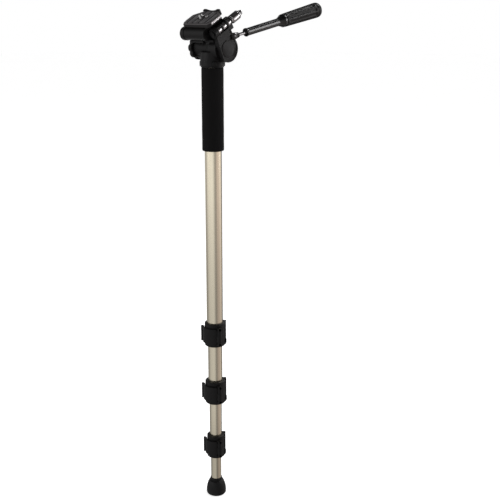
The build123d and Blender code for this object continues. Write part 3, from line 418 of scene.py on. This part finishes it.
def rounded(corners, steps=5):
    """A profile whose corners, each (radius, height, rounding), become short parabolas."""
    line = []
    for index, (radius, height, rounding) in enumerate(corners):
        here = np.array([radius, height], float)
        if rounding == 0:
            line.append(here[None])
            continue
        before = np.array(corners[index - 1][:2], float) - here
        after = np.array(corners[(index + 1) % len(corners)][:2], float) - here
        start = here + before * rounding / np.linalg.norm(before)
        end = here + after * rounding / np.linalg.norm(after)
        share = np.linspace(0, 1, steps)[:, None]
        line.append((1 - share) ** 2 * start + 2 * share * (1 - share) * here + share**2 * end)
    return np.concatenate(line)


def spread(line, step):
    """Points added along a profile so that none are more than step apart."""
    parts = []
    for start, end in zip(line[:-1], line[1:]):
        count = max(1, int(np.ceil(np.linalg.norm(end - start) / step)))
        parts.append(start + (end - start) * np.arange(count)[:, None] / count)
    return np.concatenate([*parts, line[-1:]])


def turned(line, around=AROUND, swell=None):
    """Points of a profile carried round Z; swell(angle, radius, height) gives the radius there."""
    angle = np.linspace(0, 2 * pi, around, endpoint=False)[None, :]
    radius = np.broadcast_to(line[:, :1], (len(line), around))
    height = np.broadcast_to(line[:, 1:], (len(line), around))
    if swell is not None:
        radius = swell(angle, radius, height)
    return np.stack([radius * np.cos(angle), radius * np.sin(angle), height], axis=-1)


def at_joint(name):
    """Matrix that carries local Z onto a joint's axis through the joint's own point."""
    joint = JOINTS[name]
    turn = Vector(joint["axis"]).to_track_quat("Z", "Y").to_matrix().to_4x4()
    return Matrix.Translation(joint["pos_m"]) @ turn


def in_head():
    """Matrix of the tilted part of the head, whose Y runs along the flip hinge."""
    screw = Vector(JOINTS["camera_screw_turn"]["axis"])
    hinge = Vector(JOINTS["flip"]["axis"])
    turn = Matrix((Vector((1, 0, 0)), hinge, screw)).transposed().to_4x4()
    offset = Vector((SCREW_ASIDE, 0, 0)) + hinge * SCREW_BACK + screw * PAD_TOP
    origin = Vector(JOINTS["camera_screw_turn"]["pos_m"]) - offset
    return Matrix.Translation(origin) @ turn


def weld(mesh):
    """Close seams and poles, and point every face outwards."""
    work = bmesh.new()
    work.from_mesh(mesh)
    bmesh.ops.remove_doubles(work, verts=work.verts, dist=SEAM)
    bmesh.ops.recalc_face_normals(work, faces=work.faces)
    work.to_mesh(mesh)
    work.free()


def dress(name, mesh, body, material, nodes=()):
    """Put a mesh into the scene, riding on a body and standing for the nodes it replaces."""
    mesh.shade_smooth()
    mesh.set_sharp_from_angle(angle=SMOOTH_ANGLE)
    mesh.materials.clear()
    mesh.materials.append(material)
    piece = bpy.data.objects.new(name, mesh)
    bpy.context.scene.collection.objects.link(piece)
    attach(piece, body)
    if nodes:
        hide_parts(*nodes)
    return piece


def from_grid(name, points, body, material, nodes=(), wraps=(False, True), place=None):
    """A piece from a grid of points in millimetres."""
    rows, columns = points.shape[:2]
    mesh = bpy.data.meshes.new(name)
    mesh.from_pydata(points.reshape(-1, 3) * MM, [], grid_faces(rows, columns, wraps).tolist())
    if place is not None:
        mesh.transform(place)
    weld(mesh)
    return dress(name, mesh, body, material, nodes)


def softened(node, width, material, angle=32, segments=2):
    """A welded copy of a CAD piece, its flat faces joined and its edges rounded by a bevel."""
    mesh = frame["nodes"][node].data.copy()
    mesh.name = f"{node}_softened"
    work = bmesh.new()
    work.from_mesh(mesh)
    bmesh.ops.remove_doubles(work, verts=work.verts, dist=SAME_POINT)
    bmesh.ops.dissolve_limit(work, angle_limit=FLAT_ANGLE, verts=work.verts, edges=work.edges)
    work.to_mesh(mesh)
    work.free()
    piece = dress(f"{node}_softened", mesh, BODY_OF[node], material, (node,))
    bevel = piece.modifiers.new("rounded_edges", "BEVEL")
    bevel.width = width * MM
    bevel.segments = segments
    bevel.limit_method = "ANGLE"
    bevel.angle_limit = radians(angle)
    bevel.use_clamp_overlap = True
    bevel.harden_normals = True
    return piece


def recolour(nodes, material):
    """Give CAD pieces that stay as they are their finish."""
    for node in nodes:
        for slot in frame["nodes"][node].material_slots:
            slot.material = material


def station(node):
    """Lowest and highest point of a CAD piece, in millimetres."""
    low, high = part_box(node)
    return np.array(low) / MM, np.array(high) / MM


# What a user would change
def colour_setting(name, description, default):
    return bpy.props.FloatVectorProperty(name=name, description=description, subtype="COLOR", default=default)


class MonopodColours(bpy.types.PropertyGroup):
    """Base colours of the finishes."""

    champagne: colour_setting("Champagne", "Anodised tubes", (0.65, 0.588, 0.462))
    foam: colour_setting("Foam", "Closed-cell foam grip", (0.0052, 0.0048, 0.005))
    plastic: colour_setting("Plastic", "Moulded black plastic", (0.0055, 0.0051, 0.0052))
    head: colour_setting("Head", "Painted castings of the head", (0.0055, 0.0051, 0.0053))
    gloss: colour_setting("Gloss", "Polished black sleeve", (0.004, 0.004, 0.0043))
    rubber: colour_setting("Rubber", "Foot", (0.0062, 0.006, 0.0062))
    # the pad's grey is its rubber lifted to stand in for painted sheen from the light above
    pad: colour_setting("Pad", "Ribbed pad of the plate", (0.078, 0.074, 0.076))
    chrome: colour_setting("Chrome", "Milled strips of the plate", (0.8, 0.8, 0.82))


class MonopodSizes(bpy.types.PropertyGroup):
    """Sizes of the detail that the surfaces add to the CAD model."""

    edge: bpy.props.FloatProperty(
        name="Casting edge", description="Rounding of cast edges, in millimetres",
        default=0.7, min=0.1, max=2)
    fine_edge: bpy.props.FloatProperty(
        name="Moulded edge", description="Rounding of moulded edges, in millimetres",
        default=0.45, min=0.1, max=1)
    thread_pitch: bpy.props.FloatProperty(
        name="Thread pitch", description="Pitch of the camera screw, in millimetres",
        default=1.27, min=0.5, max=2)
    floor_size: bpy.props.FloatProperty(
        name="Floor", description="Radius of the floor", default=14.0, unit="LENGTH")


def colours():
    return bpy.context.scene.monopod_colours


def sizes():
    return bpy.context.scene.monopod_sizes


# The finishes made so far, by name
FINISHES = {}


def finish(name, build, *values):
    """A finish by its name, made the first time it is asked for."""
    if name not in FINISHES:
        FINISHES[name] = build(*values)
    return FINISHES[name]


def lock_plastic():
    return finish("lock_plastic", moulded, "lock_plastic", colours().plastic, 0.5, 1700.0, 0.00003)


def knob_plastic():
    return finish("knob_plastic", moulded, "knob_plastic", colours().plastic, 0.42, 2200.0, 0.00002)


def head_paint():
    return finish("cast_black_paint", painted, colours())


def steel():
    return finish("turned_steel", turned_steel)


def metal(name):
    """One of the plated or blacked metals."""
    return finish(name, polished, name, *METALS[name])


class MONOPOD_OT_tubes(bpy.types.Operator):
    """Drawn tubes of the four leg sections: a ring profile carried round the tube's axis"""

    bl_idname = "monopod.tubes"
    bl_label = "Tubes"

    def execute(self, context):
        anodising = finish("champagne_anodised", anodised, colours())
        for node in ("main_tube", "leg_2_tube", "leg_3_tube", "leg_4_tube"):
            low, high = station(node)
            outer, wall, lip = high[0], 1.0, 0.25
            ring = rounded([
                (outer, low[2], lip), (outer, high[2], lip),
                (outer - wall, high[2], lip), (outer - wall, low[2], lip),
            ])
            from_grid(f"{node}_drawn", turned(ring, 128), BODY_OF[node], anodising, (node,),
                      wraps=(True, True))
        return {"FINISHED"}


class MONOPOD_OT_grip(bpy.types.Operator):
    """Foam sleeve: a ring profile with soft ends, swelling by a hair where the foam is unevenly ground"""

    bl_idname = "monopod.grip"
    bl_label = "Foam grip"

    def execute(self, context):
        low, high = station("foam_grip")
        outer, inner, soft = high[0], 12.52, 1.7
        ring = rounded([
            (outer, low[2], soft), (outer, high[2], soft), (inner, high[2], 0.2), (inner, low[2], 0.2),
        ], 7)
        ring = spread(np.concatenate([ring, ring[:1]]), 2.0)[:-1]

        def ground(angle, radius, height):
            wave = 0.06 * np.sin(height * 0.21 + 1.3) * np.cos(2 * angle + height * 0.05)
            return radius + np.where(radius > inner + 1, wave, 0)

        foam = finish("closed_cell_foam", foam_rubber, colours())
        piece = from_grid("foam_sleeve", turned(ring, 128, ground), "upper_leg", foam, ("foam_grip",),
                          wraps=(True, True))
        return {"FINISHED"}


class MONOPOD_OT_locks(bpy.types.Operator):
    """Leg locks: collars and cam levers with moulded edges, and their turned pins"""

    bl_idname = "monopod.locks"
    bl_label = "Leg locks"

    def execute(self, context):
        for lock in LOCKS:
            softened(f"lock_{lock}_collar", sizes().fine_edge, lock_plastic())
            softened(f"lock_{lock}_lever", sizes().fine_edge, lock_plastic())
            softened(f"lock_{lock}_pin", 0.3, metal("blacked_steel"))
            self.ear_shade_discs(lock)
        return {"FINISHED"}

    def ear_shade_discs(self, lock):
        """Small black discs shaped as screw heads on the collar's two ears, painted shade where the lever's
        pin meets them.
        """
        pin = Vector(JOINTS[f"lever_{lock}_hinge"]["pos_m"])
        outwards = Vector((pin.x, pin.y, 0)).normalized()
        turn = outwards.to_track_quat("Z", "Y").to_matrix().to_4x4()
        head = rounded([(0, -0.6, 0), (1.9, -0.6, 0), (1.9, 0.2, 0.15), (0, 0.2, 0)])
        for end, height in EAR_SHADE_DISCS:
            at = pin + outwards * EAR_RADIUS + Vector((0, 0, height))
            # near-black discs of painted shade, not real screws
            from_grid(f"lock_{lock}_{end}_screw", turned(head, 48), BODY_OF[f"lock_{lock}_collar"],
                      metal("oiled_black"),
                      place=Matrix.Translation(at) @ turn)


class MONOPOD_OT_foot(bpy.types.Operator):
    """Rubber foot: a bell profile carried round the tube, with a cuff, a neck and a ringed tread"""

    bl_idname = "monopod.foot"
    bl_label = "Rubber foot"

    def execute(self, context):
        low, high = station("rubber_foot")
        bottom, top, wide, bore = low[2], high[2], high[0], 8.32
        tread = [(0, bottom, 0)]
        for radius in (3.1, 6.2, 9.3):
            tread += [(radius - 0.75, bottom, 0.2), (radius - 0.6, bottom + 1, 0.2),
                      (radius + 0.6, bottom + 1, 0.2), (radius + 0.75, bottom, 0.2)]
        corners = tread + [
            (wide - 2.2, bottom, 1.0), (wide - 0.25, bottom + 1.6, 1.2), (wide, bottom + 7.0, 3.0),
            (wide - 0.8, bottom + 13.5, 3.0), (wide - 2.3, bottom + 18.8, 2.6), (11.4, bottom + 23.4, 1.4),
            (8.95, bottom + 23.9, 0.4), (8.9, bottom + 25.4, 0.4), (9.3, bottom + 25.9, 0.35),
            (9.3, top - 0.1, 0.5), (bore, top, 0.2), (bore, top - 18, 0.3), (0, top - 18, 0),
        ]
        rubber = finish("matt_foot_rubber", soft_rubber, colours())
        from_grid("bell_foot", turned(rounded(corners), 128), "leg_4", rubber, ("rubber_foot",))
        return {"FINISHED"}


class MONOPOD_OT_head(bpy.types.Operator):
    """Castings of the head: base, body, bracket and platform with rounded cast edges"""

    bl_idname = "monopod.head"
    bl_label = "Head castings"

    def execute(self, context):
        softened("pan_base", 0.3, head_paint())
        for node in ("pan_body", "tilt_bracket", "platform"):
            softened(node, sizes().edge, head_paint())
        softened("cheek_cover", 0.3, head_paint())
        return {"FINISHED"}


class MONOPOD_OT_knobs(bpy.types.Operator):
    """Knobs: profiles carried round each knob's own axis, with lobes and flutes as waves of the angle"""

    bl_idname = "monopod.knobs"
    bl_label = "Knobs"

    def execute(self, context):
        self.tilt_knob()
        self.flip_nut()
        self.pan_screw()
        self.hinge_sleeves()
        softened("release_knob", 0.6, knob_plastic())
        softened("flip_bolt", 0.3, knob_plastic())
        return {"FINISHED"}

    def hinge_sleeves(self):
        """Bright rings over the three knuckles of the flip hinge."""
        for name, body, low, high in (
            ("hinge_ring_front", "bracket", -5.9, 1.0), ("hinge_ring_middle", "flip_platform", 5.4, 11.2),
            ("hinge_ring_back", "bracket", 15.9, 21.2),
        ):
            ring = rounded([(5.15, low, 0.3), (5.15, high, 0.3), (4.8, high, 0.1), (4.8, low, 0.1)])
            from_grid(name, turned(ring, 96), body, metal("dark_chrome"),
                      wraps=(True, True), place=at_joint("flip"))

    def tilt_knob(self):
        """Eight lobes: the radius falls between them by a power of a cosine."""
        lobes, depth = 8, 1.9
        rim = rounded([
            (0, -4.9, 0), (7.9, -4.9, 0.6), (8.3, -3.35, 0.6), (16.7, -3.3, 1.6), (17.0, 3.3, 1.4),
            (15.4, 3.7, 0.4), (4.05, 3.7, 0), (4.05, -3.0, 0), (0, -3.0, 0),
        ])
        rim = spread(rim, 1.2)

        def lobed(angle, radius, height):
            valley = (0.5 - 0.5 * np.cos(lobes * angle)) ** 2.2
            share = np.clip((radius - 9.0) / 6.0, 0, 1)
            return radius - depth * valley * share

        from_grid("lobed_tilt_knob", turned(rim, 256, lobed), "tilt_lock", knob_plastic(),
                  ("tilt_knob",), place=at_joint("tilt_knob_turn"))

    def flip_nut(self):
        """Long nut: a collar, a smooth barrel with a groove near its end, and a tapered nose."""
        low, start, end, tip = -5.7, -4.0, 11.2, 19.6
        nut = rounded([
            (2.52, low, 0), (5.0, low, 0.4), (5.0, start, 0.2), (5.7, start + 0.1, 0.3),
            (6.3, start + 1.2, 0.6), (6.3, end - 2.8, 0.3), (5.6, end - 2.7, 0.1), (5.6, end - 1.5, 0.1),
            (6.3, end - 1.4, 0.3), (6.2, end - 0.2, 0.3), (4.8, end, 0.2), (4.3, end + 2.4, 1.2),
            (3.0, tip - 1.4, 0.8), (2.3, tip, 0.8), (0, tip, 0), (0, 9.2, 0), (2.52, 9.2, 0),
        ])
        from_grid("long_flip_nut", turned(spread(nut, 2.0), 96), "flip_lock", metal("dark_chrome"),
                  ("flip_knob",), wraps=(True, True), place=at_joint("flip_knob_turn"))

    def pan_screw(self):
        """Small knurled thumb screw on its shank."""
        face, back, groove = 18.5, 23.5, 9.2
        screw = rounded([
            (0, groove, 0), (1.85, groove, 0.2), (1.9, face, 0), (3.4, face, 0.4), (3.4, back - 0.1, 0.6),
            (2.2, back, 0.3), (0, back - 0.4, 0),
        ])
        screw = spread(screw, 0.5)

        def knurled(angle, radius, height):
            return radius - 0.22 * (0.5 - 0.5 * np.cos(12 * angle)) * (radius > 3.0)

        from_grid("pan_thumb_screw", turned(screw, 144, knurled), "pan_lock", knob_plastic(),
                  ("pan_lock_screw",), place=at_joint("pan_lock_turn"))


class MONOPOD_OT_plate(bpy.types.Operator):
    """Quick-release plate, its ribbed pad, the threaded camera screw and the index pin"""

    bl_idname = "monopod.plate"
    bl_label = "Quick-release plate"

    def execute(self, context):
        softened("plate_base", 0.35, finish("plate_plastic", rimmed_plate, colours()))
        self.pad()
        for side in (-1, 1):
            self.milled_strip(side)
        self.camera_screw()
        softened("index_pin", 0.2, steel())
        return {"FINISHED"}

    def pad(self):
        """The CAD pad cut level below its ribs, raised to their height, closed, and grooved across."""
        up = Vector(JOINTS["camera_screw_turn"]["axis"])
        top = in_head().translation + up * PAD_TOP
        mesh = frame["nodes"]["plate_pad"].data.copy()
        work = bmesh.new()
        work.from_mesh(mesh)
        bmesh.ops.remove_doubles(work, verts=work.verts, dist=SAME_POINT)

        def cut(place, normal, clear=False):
            everything = [*work.verts, *work.edges, *work.faces]
            return bmesh.ops.bisect_plane(
                work, geom=everything, plane_co=place, plane_no=normal, clear_outer=clear)["geom_cut"]

        level = cut(top - up * GROOVE_DEPTH, up, clear=True)
        rim = [part for part in level if isinstance(part, bmesh.types.BMEdge)]
        for corner in {corner for edge in rim for corner in edge.verts}:
            corner.co += up * GROOVE_DEPTH
        bmesh.ops.triangle_fill(work, edges=rim, use_beauty=True)
        edge = GROOVE_HALF + GROOVE_WALL
        for groove in PAD_GROOVES:
            for aside in (-edge, -GROOVE_HALF, GROOVE_HALF, edge):
                cut((groove + aside, 0, 0), (1, 0, 0))
            for corner in work.verts:
                at_top = (corner.co - top).dot(up) > -JUST_BELOW
                if at_top and abs(corner.co.x - groove) < GROOVE_HALF + GROOVE_WALL / 2:
                    corner.co -= up * GROOVE_DEPTH
        work.to_mesh(mesh)
        work.free()
        weld(mesh)
        rubber = finish("ribbed_pad_rubber", ribbed_rubber, colours())
        dress("ribbed_pad", mesh, "quick_plate", rubber, ("plate_pad",))

    def milled_strip(self, side):
        """Bright strip on a side of the plate: a thin bar with a triangle wave along its outer face."""
        teeth, pitch, inner, low, high, start = 16, 1.25, 27.8, 42.5, 45.3, -8.6
        along = start + np.arange(2 * teeth + 1) * pitch / 2
        outer = 28.2 + 0.32 * (np.arange(2 * teeth + 1) % 2)
        loop = np.stack([
            np.stack([np.full_like(outer, inner), along, np.full_like(outer, low)], axis=-1),
            np.stack([outer, along, np.full_like(outer, low)], axis=-1),
            np.stack([outer, along, np.full_like(outer, high)], axis=-1),
            np.stack([np.full_like(outer, inner), along, np.full_like(outer, high)], axis=-1),
        ], axis=1)
        middle = loop.mean(axis=1, keepdims=True)
        middle[:, :, 0] = inner
        loop = np.concatenate([np.repeat(middle[:1], 4, axis=1), loop, np.repeat(middle[-1:], 4, axis=1)])
        name = "milled_strip_right" if side > 0 else "milled_strip_left"
        bright = finish("bright_chrome", polished, "bright_chrome", colours().chrome, 0.08)
        from_grid(name, loop * (side, 1, 1) + (PLATE_ASIDE, 0, 0), "quick_plate", bright,
                  place=in_head())

    def camera_screw(self):
        """The thread is a triangle wave that climbs by one pitch for each turn."""
        pitch, core, crest, top = sizes().thread_pitch, 2.7, 3.17, 4.6
        height = np.linspace(0.05, top - 0.7, 72)
        shaft = np.stack([np.full_like(height, crest), height], axis=-1)
        line = np.concatenate([
            [(0, -9.5), (6.8, -9.5), (7.0, -9.3), (7.0, -7.3), (6.8, -7.1), (2.6, -7.1), (2.6, 0), (3.0, 0)],
            shaft,
            [(2.6, top), (0, top)],
        ])

        def threaded(angle, radius, height):
            phase = (height / pitch - angle / (2 * pi)) % 1
            groove = 1 - np.abs(2 * phase - 1)
            return radius - (crest - core) * groove * (radius > crest - 0.01)

        from_grid("threaded_camera_screw", turned(line, 96, threaded), "mount_screw", steel(),
                  ("camera_screw",), place=at_joint("camera_screw_turn"))


class MONOPOD_OT_handle(bpy.types.Operator):
    """Pan handle: chrome rod, gloss sleeve with its flare, fluted grip and rounded cap"""

    bl_idname = "monopod.handle"
    bl_label = "Pan handle"

    def execute(self, context):
        place = at_joint("handle_twist")
        gloss = finish("black_lacquer", gloss_black, colours())
        rod = rounded([(0, -4.0, 0), (2.2, -4.0, 0.3), (2.2, 163.0, 0.3), (0, 163.0, 0)])
        from_grid("chrome_rod", turned(rod, 64), "pan_handle", metal("plated_rod"), ("handle_rod",),
                  place=place)
        sleeve = rounded([
            (2.22, 24.0, 0), (6.0, 24.0, 0.4), (6.0, 25.6, 0.3), (5.55, 25.7, 0.2), (5.5, 30.0, 0),
            (5.7, 91.5, 1.6), (7.4, 96.6, 2.4), (8.9, 100.3, 0.8), (9.3, 100.7, 0.3), (9.3, 104.0, 0.4),
            (8.7, 104.5, 0.2), (2.22, 104.5, 0),
        ])
        from_grid("flared_sleeve", turned(spread(sleeve, 4.0), 96), "pan_handle", gloss,
                  ("handle_sleeve",), wraps=(True, True), place=place)
        self.fluted_grip(place)
        ferrule = rounded([
            (5.12, -3.0, 0.3), (5.12, 0.2, 0.3), (4.55, 3.6, 0.3), (4.2, 3.6, 0.1), (4.6, 0, 0),
            (4.6, -3.0, 0.1),
        ])
        from_grid("socket_ferrule", turned(ferrule, 96), "bracket", metal("smoked_chrome"),
                  wraps=(True, True), place=place)
        cap = rounded([
            (0, 173.0, 0), (10.8, 173.0, 0), (10.8, 173.5, 0.1), (11.3, 173.6, 0.35), (11.3, 177.8, 1.6),
            (10.4, 181.0, 2.2), (7.0, 182.5, 2.6), (0, 182.5, 0),
        ], 7)
        from_grid("rounded_end_cap", turned(cap, 96), "pan_handle", knob_plastic(), ("handle_cap",),
                  place=place)
        return {"FINISHED"}

    def fluted_grip(self, place):
        """Ten hollows along a taper; each fades in and out at its ends."""
        low, high, thin, thick = 104.5, 173.0, 9.7, 11.3
        height = np.concatenate([
            np.linspace(low + 0.6, low + 12, 24), np.linspace(low + 13, high - 12, 20),
            np.linspace(high - 11, high - 0.5, 22),
        ])
        radius = thin + (thick - thin) * (height - low) / (high - low)
        line = np.concatenate([
            [(2.22, low), (thin - 0.5, low)],
            np.stack([radius, height], axis=-1),
            [(thick - 0.4, high), (2.22, high)],
        ])

        def fluted(angle, radius, height):
            fade = np.clip((height - low - 4) / 3, 0, 1) * np.clip((high - 4 - height) / 3, 0, 1)
            across = np.clip(np.abs(((10 * angle / (2 * pi)) % 1) - 0.5) / 0.34, 0, 1)
            hollow = np.sqrt(1 - across**2)
            return radius - 1.0 * hollow * np.sqrt(fade) * (radius > 9)

        from_grid("fluted_grip", turned(line, 240, fluted), "pan_handle", knob_plastic(),
                  ("handle_grip",), wraps=(True, True), place=place)


class MONOPOD_OT_fittings(bpy.types.Operator):
    """Inner fittings that stay as the CAD model has them: bushes, plugs, shoes, axle, stud and washers"""

    bl_idname = "monopod.fittings"
    bl_label = "Inner fittings"

    def execute(self, context):
        recolour([f"leg_{leg}_bush" for leg in (2, 3, 4)], finish("natural_nylon", nylon))
        recolour([f"lock_{lock}_shoe" for lock in LOCKS], finish("natural_nylon", nylon))
        recolour(("tube_plug", "foot_plug", "pan_washer", "tilt_washer"), knob_plastic())
        recolour(("head_stud", "tilt_axle"), steel())
        return {"FINISHED"}


class MONOPOD_OT_stage(bpy.types.Operator):
    """White floor, pale room, softboxes and the camera"""

    bl_idname = "monopod.stage"
    bl_label = "Stage"

    def execute(self, context):
        self.floor()
        self.room(context.scene)
        for lamp in LAMPS:
            self.softbox(*lamp)
        self.camera(context.scene)
        context.scene.view_settings.view_transform = "Standard"
        return {"FINISHED"}

    def floor(self):
        """A wide disc at the foot: white where it is seen, with the studio's lights where it is mirrored."""
        radius = sizes().floor_size / MM
        bottom = CAD_BOX[0].z / MM
        line = np.array([(0, bottom), (0.02 * radius, bottom), (0.2 * radius, bottom), (radius, bottom)])
        points = turned(line, 96)
        mesh = bpy.data.meshes.new("floor")
        faces = grid_faces(*points.shape[:2], (False, True))
        mesh.from_pydata(points.reshape(-1, 3) * MM, [], faces.tolist())
        weld(mesh)
        make = new_finish("white_floor")
        at = make.place((1, 1, 0))
        away = make.node("ShaderNodeVectorMath", {"operation": "LENGTH"}, {0: at}, output=1)
        lit = make.node("ShaderNodeBsdfPrincipled", inputs={
            "Base Color": (0.9, 0.9, 0.9, 1), "Roughness": 0.8, "Specular IOR Level": 0.1,
            "Emission Color": (1, 1, 1, 1),
            "Emission Strength": make.rays("Camera", "Transmission") * SEEN_FLOOR})
        strength = sum((make.ramp(away, near, far) * more for near, far, more in LIGHT_RISES), LIGHT_AT_FOOT)
        mirrored = make.node(
            "ShaderNodeEmission", inputs={"Color": make.studio(at, LYING), "Strength": strength})
        mixed = make.node("ShaderNodeMixShader", inputs={0: make.rays("Glossy"), 1: lit, 2: mirrored})
        make.node("ShaderNodeOutputMaterial", inputs={"Surface": mixed})
        mesh.materials.append(make.owner)
        floor = bpy.data.objects.new("floor", mesh)
        bpy.context.scene.collection.objects.link(floor)

    def room(self, scene):
        """White for what is seen, the studio for what is mirrored, and dimmer for the light that it gives."""
        scene.world = bpy.data.worlds.new("pale_room")
        make = Finish(scene.world)
        towards = make.node("ShaderNodeTexCoord", output="Generated")
        height = make.node("ShaderNodeSeparateXYZ", inputs={"Vector": towards}, output=2)
        ceiling = 1.0 - make.ramp(height, CEILING_FROM, CEILING_TO) * CEILING_DARK
        mirrored = make.node(
            "ShaderNodeBackground", inputs={"Color": make.studio(towards, STANDING), "Strength": ceiling})
        light = ROOM_LIGHT + make.rays("Camera", "Transmission") * ROOM_SEEN
        plain = make.node("ShaderNodeBackground", inputs={"Color": (1, 1, 1, 1), "Strength": light})
        mixed = make.node("ShaderNodeMixShader", inputs={0: make.rays("Glossy"), 1: plain, 2: mirrored})
        make.node("ShaderNodeOutputWorld", inputs={"Surface": mixed})

    def softbox(self, name, at, target, width, height, power):
        """Area light turned to face a point."""
        light = bpy.data.lights.new(name, "AREA")
        light.shape = "RECTANGLE"
        light.size, light.size_y, light.energy = width, height, power
        lamp = bpy.data.objects.new(name, light)
        lamp.location = at
        lamp.rotation_euler = (Vector(at) - Vector(target)).to_track_quat("Z", "Y").to_euler()
        bpy.context.scene.collection.objects.link(lamp)

    def camera(self, scene):
        """Level with the head, on the corner between +X and -Y, looking down at the foot."""
        lens = bpy.data.cameras.new("camera")
        lens.sensor_width = SENSOR
        lens.lens = LENS
        eye = bpy.data.objects.new("camera", lens)
        eye.location = EYE
        look = Euler((radians(90 - LOOKS_DOWN), 0, radians(COMPASS))).to_matrix().to_4x4()
        roll = Matrix.Rotation(radians(ROLL), 4, "Z")
        eye.rotation_euler = (look @ roll).to_euler()
        scene.collection.objects.link(eye)
        scene.camera = eye


class MONOPOD_PT_panel(bpy.types.Panel):
    """Lists the colours, the sizes and the builders"""

    bl_label = "Monopod"
    bl_idname = "MONOPOD_PT_panel"
    bl_space_type = "VIEW_3D"
    bl_region_type = "UI"
    bl_category = "Monopod"

    def draw(self, context):
        for group in (context.scene.monopod_colours, context.scene.monopod_sizes):
            for key in group.bl_rna.properties.keys():
                if key not in ("rna_type", "name"):
                    self.layout.prop(group, key)
        for builder in BUILDERS:
            self.layout.operator(builder.bl_idname)


BUILDERS = (
    MONOPOD_OT_tubes, MONOPOD_OT_grip, MONOPOD_OT_locks, MONOPOD_OT_foot, MONOPOD_OT_head,
    MONOPOD_OT_knobs, MONOPOD_OT_plate, MONOPOD_OT_handle, MONOPOD_OT_fittings, MONOPOD_OT_stage,
)
CLASSES = (MonopodColours, MonopodSizes, *BUILDERS, MONOPOD_PT_panel)


def register():
    for each in CLASSES:
        bpy.utils.register_class(each)
    bpy.types.Scene.monopod_colours = bpy.props.PointerProperty(type=MonopodColours)
    bpy.types.Scene.monopod_sizes = bpy.props.PointerProperty(type=MonopodSizes)


def unregister():
    del bpy.types.Scene.monopod_colours
    del bpy.types.Scene.monopod_sizes
    for each in reversed(CLASSES):
        bpy.utils.unregister_class(each)


def main():
    register()
    for piece in ("tubes", "grip", "locks", "foot", "head", "knobs", "plate", "handle", "fittings", "stage"):
        getattr(bpy.ops.monopod, piece)()


if __name__ == "__main__":
    main()
